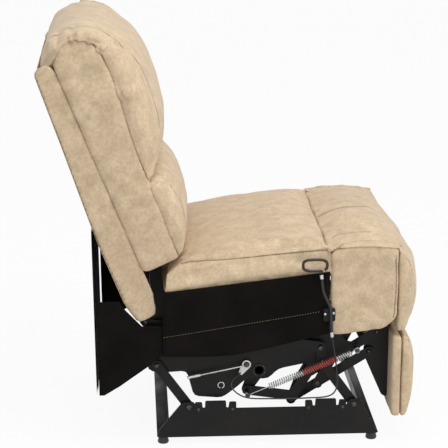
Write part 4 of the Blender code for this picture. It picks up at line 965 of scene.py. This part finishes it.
def hanging_sheet(name, offset, thickness, half, finish):
    """A sheet that hangs from the back to near the floor, with soft upright folds."""
    grid = bmesh.new()
    bmesh.ops.create_grid(grid, x_segments=64, y_segments=44, size=1.0)
    for vert in grid.verts:
        across, up = vert.co.x, (vert.co.y + 1) / 2
        lean = 0.006 * (1 - up)
        fold = SKIRT_FOLD * (1 - up) * (math.sin(9.0 * across + 1.0) + 0.5 * math.sin(23.0 * across))
        vert.co = Vector((skirt_low.x + 0.0030 + lean + offset + fold, across * half,
                          SKIRT_FOOT + up * (SKIRT_TOP - SKIRT_FOOT)))
    bmesh.ops.solidify(grid, geom=grid.faces[:], thickness=thickness)
    bmesh.ops.recalc_face_normals(grid, faces=grid.faces[:])
    return piece_from(name, grid, finish)


skirt = hanging_sheet("rear_skirt_cloth", 0.0, 0.0018, SKIRT_HALF, tan_cover)
lining = hanging_sheet("rear_skirt_lining", 0.0024, 0.0010, SKIRT_HALF - 0.002, platform_cloth)
for piece, cloth_slot in ((skirt, "tan_upholstery_side"), (lining, "black_platform_cloth")):
    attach(piece, "skirt")
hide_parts("rear_skirt")
gusset_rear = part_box("skirt_gusset_right")[0].x
wing_foot = on_back(-0.058, 0.0, 0.035)
GUSSET_OUTLINE = [(gusset_rear + 0.006, 0.137), (gusset_rear + 0.018, 0.137), (gusset_rear + 0.056, 0.160),
                  (-0.198, 0.208), (-0.155, 0.244), (-0.061, 0.244), (-0.061, 0.310),
                  (wing_foot.x + 0.040, 0.310), (wing_foot.x - 0.002, wing_foot.z - 0.004),
                  (wing_foot.x - 0.012, 0.372), (gusset_rear + 0.0025, 0.372)]
for side_name, side in SIDES.items():
    low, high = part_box("skirt_gusset_" + side_name)
    gusset = cloth_panel("skirt_gusset_cloth_" + side_name, GUSSET_OUTLINE,
                         (low.y + high.y) / 2 - 0.0005 * side, 0.0010, 0.00025, platform_cloth)
    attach(gusset, "skirt")
    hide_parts("skirt_gusset_" + side_name)

# Opening springs: zinc-plated wire wound close, with its middle painted red.
# Each is hooked from a stud on the drive lever to one on the seat plate.
LEVER_STUD = Vector((0.041, 0.127))
PLATE_STUD = Vector((0.304, 0.236))
SPRING_Y = 0.272
SPRING_TURNS = 40
STEPS_A_TURN = 14
COIL_RADIUS = 0.0068
COIL_START = 0.053
COIL_ENDS = 0.066
SPRING_WIRE = 0.0012
LEVER_HOOK = 0.0056
PLATE_HOOK = 0.0062


def swept(name, places, radius, sides, finish):
    """A round wire along a run of points; each point's share of the run is kept as the attribute wind."""
    wire = bmesh.new()
    rings = []
    across = None
    for index, spot in enumerate(places):
        onward = (places[min(index + 1, len(places) - 1)] - places[max(index - 1, 0)]).normalized()
        across = across or onward.orthogonal()
        across = (across - onward * across.dot(onward)).normalized()
        beside = onward.cross(across)
        rings.append([wire.verts.new(spot + (across * math.cos(math.tau * turn / sides)
                                             + beside * math.sin(math.tau * turn / sides)) * radius)
                      for turn in range(sides)])
    for one, two in zip(rings, rings[1:]):
        for turn in range(sides):
            wire.faces.new((one[turn - 1], one[turn], two[turn], two[turn - 1]))
    wire.faces.new(rings[0])
    wire.faces.new(rings[-1][::-1])
    bmesh.ops.recalc_face_normals(wire, faces=wire.faces[:])
    made = piece_from(name, wire, finish)
    along = np.repeat(np.linspace(0.0, 1.0, len(places)), sides).astype(np.float32)
    made.data.attributes.new("wind", "FLOAT", "POINT").data.foreach_set("value", along)
    return made


zinc, shader, place = finish_material("bright_zinc", 0.34, 0.9)
zinc_cloud = noise(place, 90.0, 4.0)
zinc_tone = ramp(zinc_cloud, 0, [(0.35, (0.46, 0.46, 0.44)), (0.65, (0.68, 0.68, 0.66))])
feed(shader, "Base Color", zinc_tone)
zinc_dull = ramp(zinc_cloud, 0, [(0.3, 0.26), (0.7, 0.46)])
feed(shader, "Roughness", zinc_dull)
spring_wire, shader, place = finish_material("zinc_wire_red_middle", 0.36)
wind = new_node(place.id_data, "Attribute")
wind.attribute_name = "wind"
wire_cloud = noise(place, 120.0, 3.0)
wire_tone = ramp(wire_cloud, 0, [(0.35, (0.42, 0.44, 0.42)), (0.65, (0.62, 0.64, 0.62))])
painted = ramp(wind, "Fac", [(0.425, 0.0), (0.430, 1.0), (0.790, 1.0), (0.795, 0.0)])
bare = ramp(wind, "Fac", [(0.425, 0.85), (0.430, 0.0), (0.790, 0.0), (0.795, 0.85)])
red = mixed(shader, "MULTIPLY", 0.4, (0.52, 0.085, 0.060), wire_cloud.outputs["Color"])
feed(shader, "Base Color", mixed(shader, "MIX", painted, wire_tone, red))
feed(shader, "Metallic", bare)
bumps(shader, (wire_cloud, 0.15, 0.0002))
pull = (PLATE_STUD - LEVER_STUD).normalized()
rise = Vector((-pull.y, pull.x))
reach = (PLATE_STUD - LEVER_STUD).length


def hook(stud, radius, first_turn, turn_step):
    """The places of a spring's hook round a stud, in the side view."""
    turns = [math.radians(first_turn + turn_step * step) for step in range(19)]
    return [stud + (pull * math.cos(turn) + rise * math.sin(turn)) * radius for turn in turns]


for side_name, side in SIDES.items():
    shank = [LEVER_STUD + pull * (0.006 + 0.007 * step) for step in range(1, 7)]
    lever_end = hook(LEVER_STUD, -LEVER_HOOK, -100, 15) + shank
    run = [Vector((spot.x, side * SPRING_Y, spot.y)) for spot in lever_end]
    coil_steps = SPRING_TURNS * STEPS_A_TURN
    for step in range(coil_steps + 1):
        turn = math.tau * step / STEPS_A_TURN
        grow = min(1.0, step / 10, (coil_steps - step) / 10)
        spot = LEVER_STUD + pull * (COIL_START + (reach - COIL_ENDS) * step / coil_steps)
        spot += rise * COIL_RADIUS * grow * math.cos(turn)
        run.append(Vector((spot.x, side * (SPRING_Y + COIL_RADIUS * grow * math.sin(turn)), spot.y)))
    run += [Vector((spot.x, side * SPRING_Y, spot.y)) for spot in hook(PLATE_STUD, PLATE_HOOK, 100, -15)]
    spring = swept("opening_spring_wire_" + side_name, run, SPRING_WIRE, 6, spring_wire)
    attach(spring, "seat")
    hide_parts("opening_spring_" + side_name)
    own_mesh(spring)

# Pivot rivets: the domed steel ends of the pins that the links turn on, rubbed bright in places, and the
# rivets of the arm brackets. A row has the body, the depth from the middle, the radius and the places.
rivet_steel, shader, place = finish_material("worn_rivet_steel", 0.40, 0.75)
rivet_cloud = noise(place, 260.0, 3.0)
rivet_tone = ramp(rivet_cloud, 0, [(0.38, (0.030, 0.028, 0.026)), (0.66, (0.115, 0.108, 0.100))])
feed(shader, "Base Color", rivet_tone)
bumps(shader, (rivet_cloud, 0.2, 0.0003))
RIVET_HEIGHT = 0.0022
RIVETS = (("seat", 0.2567, 0.0062, ((-0.177, 0.2012), (0.223, 0.2012), (-0.185, 0.348), (0.0391, 0.1987))),
          ("seat", 0.2462, 0.0068, ((0.2627, 0.3100), (0.3265, 0.3493))),
          ("base", 0.2622, 0.0066, ((-0.100, 0.094), (0.300, 0.094))),
          ("base", 0.2656, 0.0040, ((-0.0775, 0.089), (0.0055, 0.089), (0.1895, 0.089), (0.2725, 0.089))),
          ("back", 0.2645, 0.0060, ((-0.2039, 0.3127),)),
          ("front_swing", 0.2645, 0.0060, ((0.2162, 0.2406),)),
          ("rear_crank", 0.2302, 0.0060, ((0.150, 0.098), (0.168, 0.148))),
          ("front_crank", 0.2302, 0.0060, ((0.2139, 0.1374),)),
          ("long_arm", 0.2222, 0.0060, ((0.340, 0.215),)),
          ("upper_arm", 0.2222, 0.0060, ((0.358, 0.265),)),
          ("drive_lever", 0.2735, 0.0058, ((0.041, 0.127),)),
          ("seat", 0.2735, 0.0058, ((0.304, 0.236),)))


def domes(name, spots, y, radius, height, finish):
    """Rivet heads in the side view at one depth, as one piece."""
    heads = bmesh.new()
    for x, z in spots:
        shrink = Matrix.Diagonal((radius, height, radius, 1.0))
        bmesh.ops.create_uvsphere(heads, u_segments=16, v_segments=8, radius=1.0,
                                  matrix=Matrix.Translation((x, y, z)) @ shrink)
    return piece_from(name, heads, finish)


for index, (body, depth, radius, spots) in enumerate(RIVETS):
    for side_name, side in SIDES.items():
        heads = domes("rivets_%02d_%s" % (index, side_name), spots, side * depth, radius, RIVET_HEIGHT,
                      rivet_steel)
        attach(heads, body)

# Latch: a zinc-plated pawl on the right seat plate, with its return rod in a short sleeve.
# Two snap rings, bent from round wire, hold the plate's stud and the drive shaft.
ROD_Y = -0.2590
ROD_STEP = 0.004
SNAP_WIRE = 0.0014


def snap_ring(name, x, y, z, radius, finish):
    """A snap ring in the side view, open at its foot."""
    turns = [math.radians(-75 + 10 * step) for step in range(34)]
    circle = [Vector((x + radius * math.cos(turn), y, z + radius * math.sin(turn))) for turn in turns]
    return swept(name, circle, SNAP_WIRE, 8, finish)


coat("latch_pawl", zinc)
rod_route = at_side(ROD_Y, (-0.104, 0.170), (-0.040, 0.183), (0.022, 0.1955)) + [(0.030, -0.2572, 0.1972)]
latch_rod = swept("latch_return_rod", sample(rod_route, ROD_STEP), 0.0020, 8, zinc)
sleeve_route = at_side(ROD_Y, (-0.104, 0.170), (-0.088, 0.1733), (-0.072, 0.1765))
rod_sleeve = swept("latch_rod_sleeve", sample(sleeve_route, ROD_STEP), 0.0036, 10, zinc)
plate_ring = snap_ring("snap_ring_plate", -0.022, -0.2478, 0.145, 0.0075, zinc)
shaft_ring = snap_ring("snap_ring_shaft", 0.0701, -0.2480, 0.1817, 0.0142, rivet_steel)
for piece in (latch_rod, rod_sleeve, plate_ring, shaft_ring):
    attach(piece, "seat")

# Release: a moulded pull ring of glossy black plastic on a sheathed steel cable with zinc ferrules.
# The sheath is held to the front box by a screwed clip, and the wire runs on below the seat to the latch.
ring_black, shader, place = finish_material("glossy_black_moulding", 0.22)
ring_cloud = noise(place, 180.0, 3.0)
ring_tone = ramp(ring_cloud, 0, [(0.35, (0.006, 0.006, 0.006)), (0.65, (0.014, 0.013, 0.013))])
feed(shader, "Base Color", ring_tone)
ring_gloss = ramp(ring_cloud, 0, [(0.35, 0.16), (0.65, 0.30)])
feed(shader, "Roughness", ring_gloss)
CABLE_Y = -0.2966
RING_X, RING_Z = 0.197, 0.4585
RING_HALF_LENGTH, RING_HALF_HEIGHT = 0.0285, 0.0140
RING_SQUARENESS = 0.65


def squared(value):
    """A cosine or sine drawn out towards a rounded box."""
    return math.copysign(abs(value) ** RING_SQUARENESS, value)


loop = [Vector((0.212, CABLE_Y, 0.437))]
for step in range(73):
    turn = math.radians(-68 - 338 * step / 72)
    loop.append(Vector((RING_X + RING_HALF_LENGTH * squared(math.cos(turn)), CABLE_Y,
                        RING_Z + RING_HALF_HEIGHT * squared(math.sin(turn)))))
pull_ring = swept("pull_ring", loop, 0.0034, 12, ring_black)
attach(pull_ring, "release_ring")
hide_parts("release_ring")


def cable(name, route, radius, node, finish):
    """A cable as a curve along its route."""
    line = sample(route, 0.004)
    curve = bpy.data.curves.new(name, "CURVE")
    curve.dimensions = "3D"
    curve.bevel_depth = radius
    curve.bevel_resolution = 3
    curve.use_fill_caps = True
    spline = curve.splines.new("POLY")
    spline.points.add(len(line) - 1)
    for point, spot in zip(spline.points, line):
        point.co = (*spot, 1.0)
    curve.materials.append(finish)
    made = bpy.data.objects.new(name, curve)
    scene.collection.objects.link(made)
    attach(made, "seat")
    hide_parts(node)


sheath_route = at_side(CABLE_Y, (0.212, 0.436), (0.218, 0.392), (0.2335, 0.356), (0.2365, 0.334),
                       (0.2375, 0.314), (0.2398, 0.281))
cable("release_cable_sheath", sheath_route, 0.0035, "cable_sheath", black_plastic)
low_run = at_side(-0.2851, (0.254, 0.146), (0.235, 0.126), (0.180, 0.122), (0.100, 0.122), (0.038, 0.126))
wire_route = [(0.2399, CABLE_Y, 0.2806), (0.247, -0.2946, 0.238), (0.254, -0.2906, 0.183), *low_run,
              (0.006, -0.2791, 0.144), (0.004, -0.2660, 0.161), (0.0261, -0.2561, 0.1787)]
cable("release_cable_wire", wire_route, 0.0018, "release_wire", ring_black)
upper_route = at_side(CABLE_Y, (0.2119, 0.4350), (0.2126, 0.4300), (0.2133, 0.4250))
upper_ferrule = swept("cable_ferrule_upper", sample(upper_route, 0.002), 0.0046, 16, zinc)
lower_route = at_side(CABLE_Y, (0.2390, 0.2920), (0.2394, 0.2860), (0.2399, 0.2790))
lower_ferrule = swept("cable_ferrule_lower", sample(lower_route, 0.002), 0.0044, 16, zinc)
clip_low, clip_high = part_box("cable_clip")
clip_middle = (clip_low + clip_high) / 2
clip_places = ((clip_middle.x - 0.0098, clip_middle.z + 0.002),
               (clip_middle.x + 0.0098, clip_middle.z + 0.004))
clip_screws = domes("cable_clip_screws", clip_places, clip_low.y, 0.0032, 0.0014, zinc)
for piece in (upper_ferrule, lower_ferrule, clip_screws):
    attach(piece, "seat")

# Size: the box of the finished chair's shown pieces.
low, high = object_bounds()
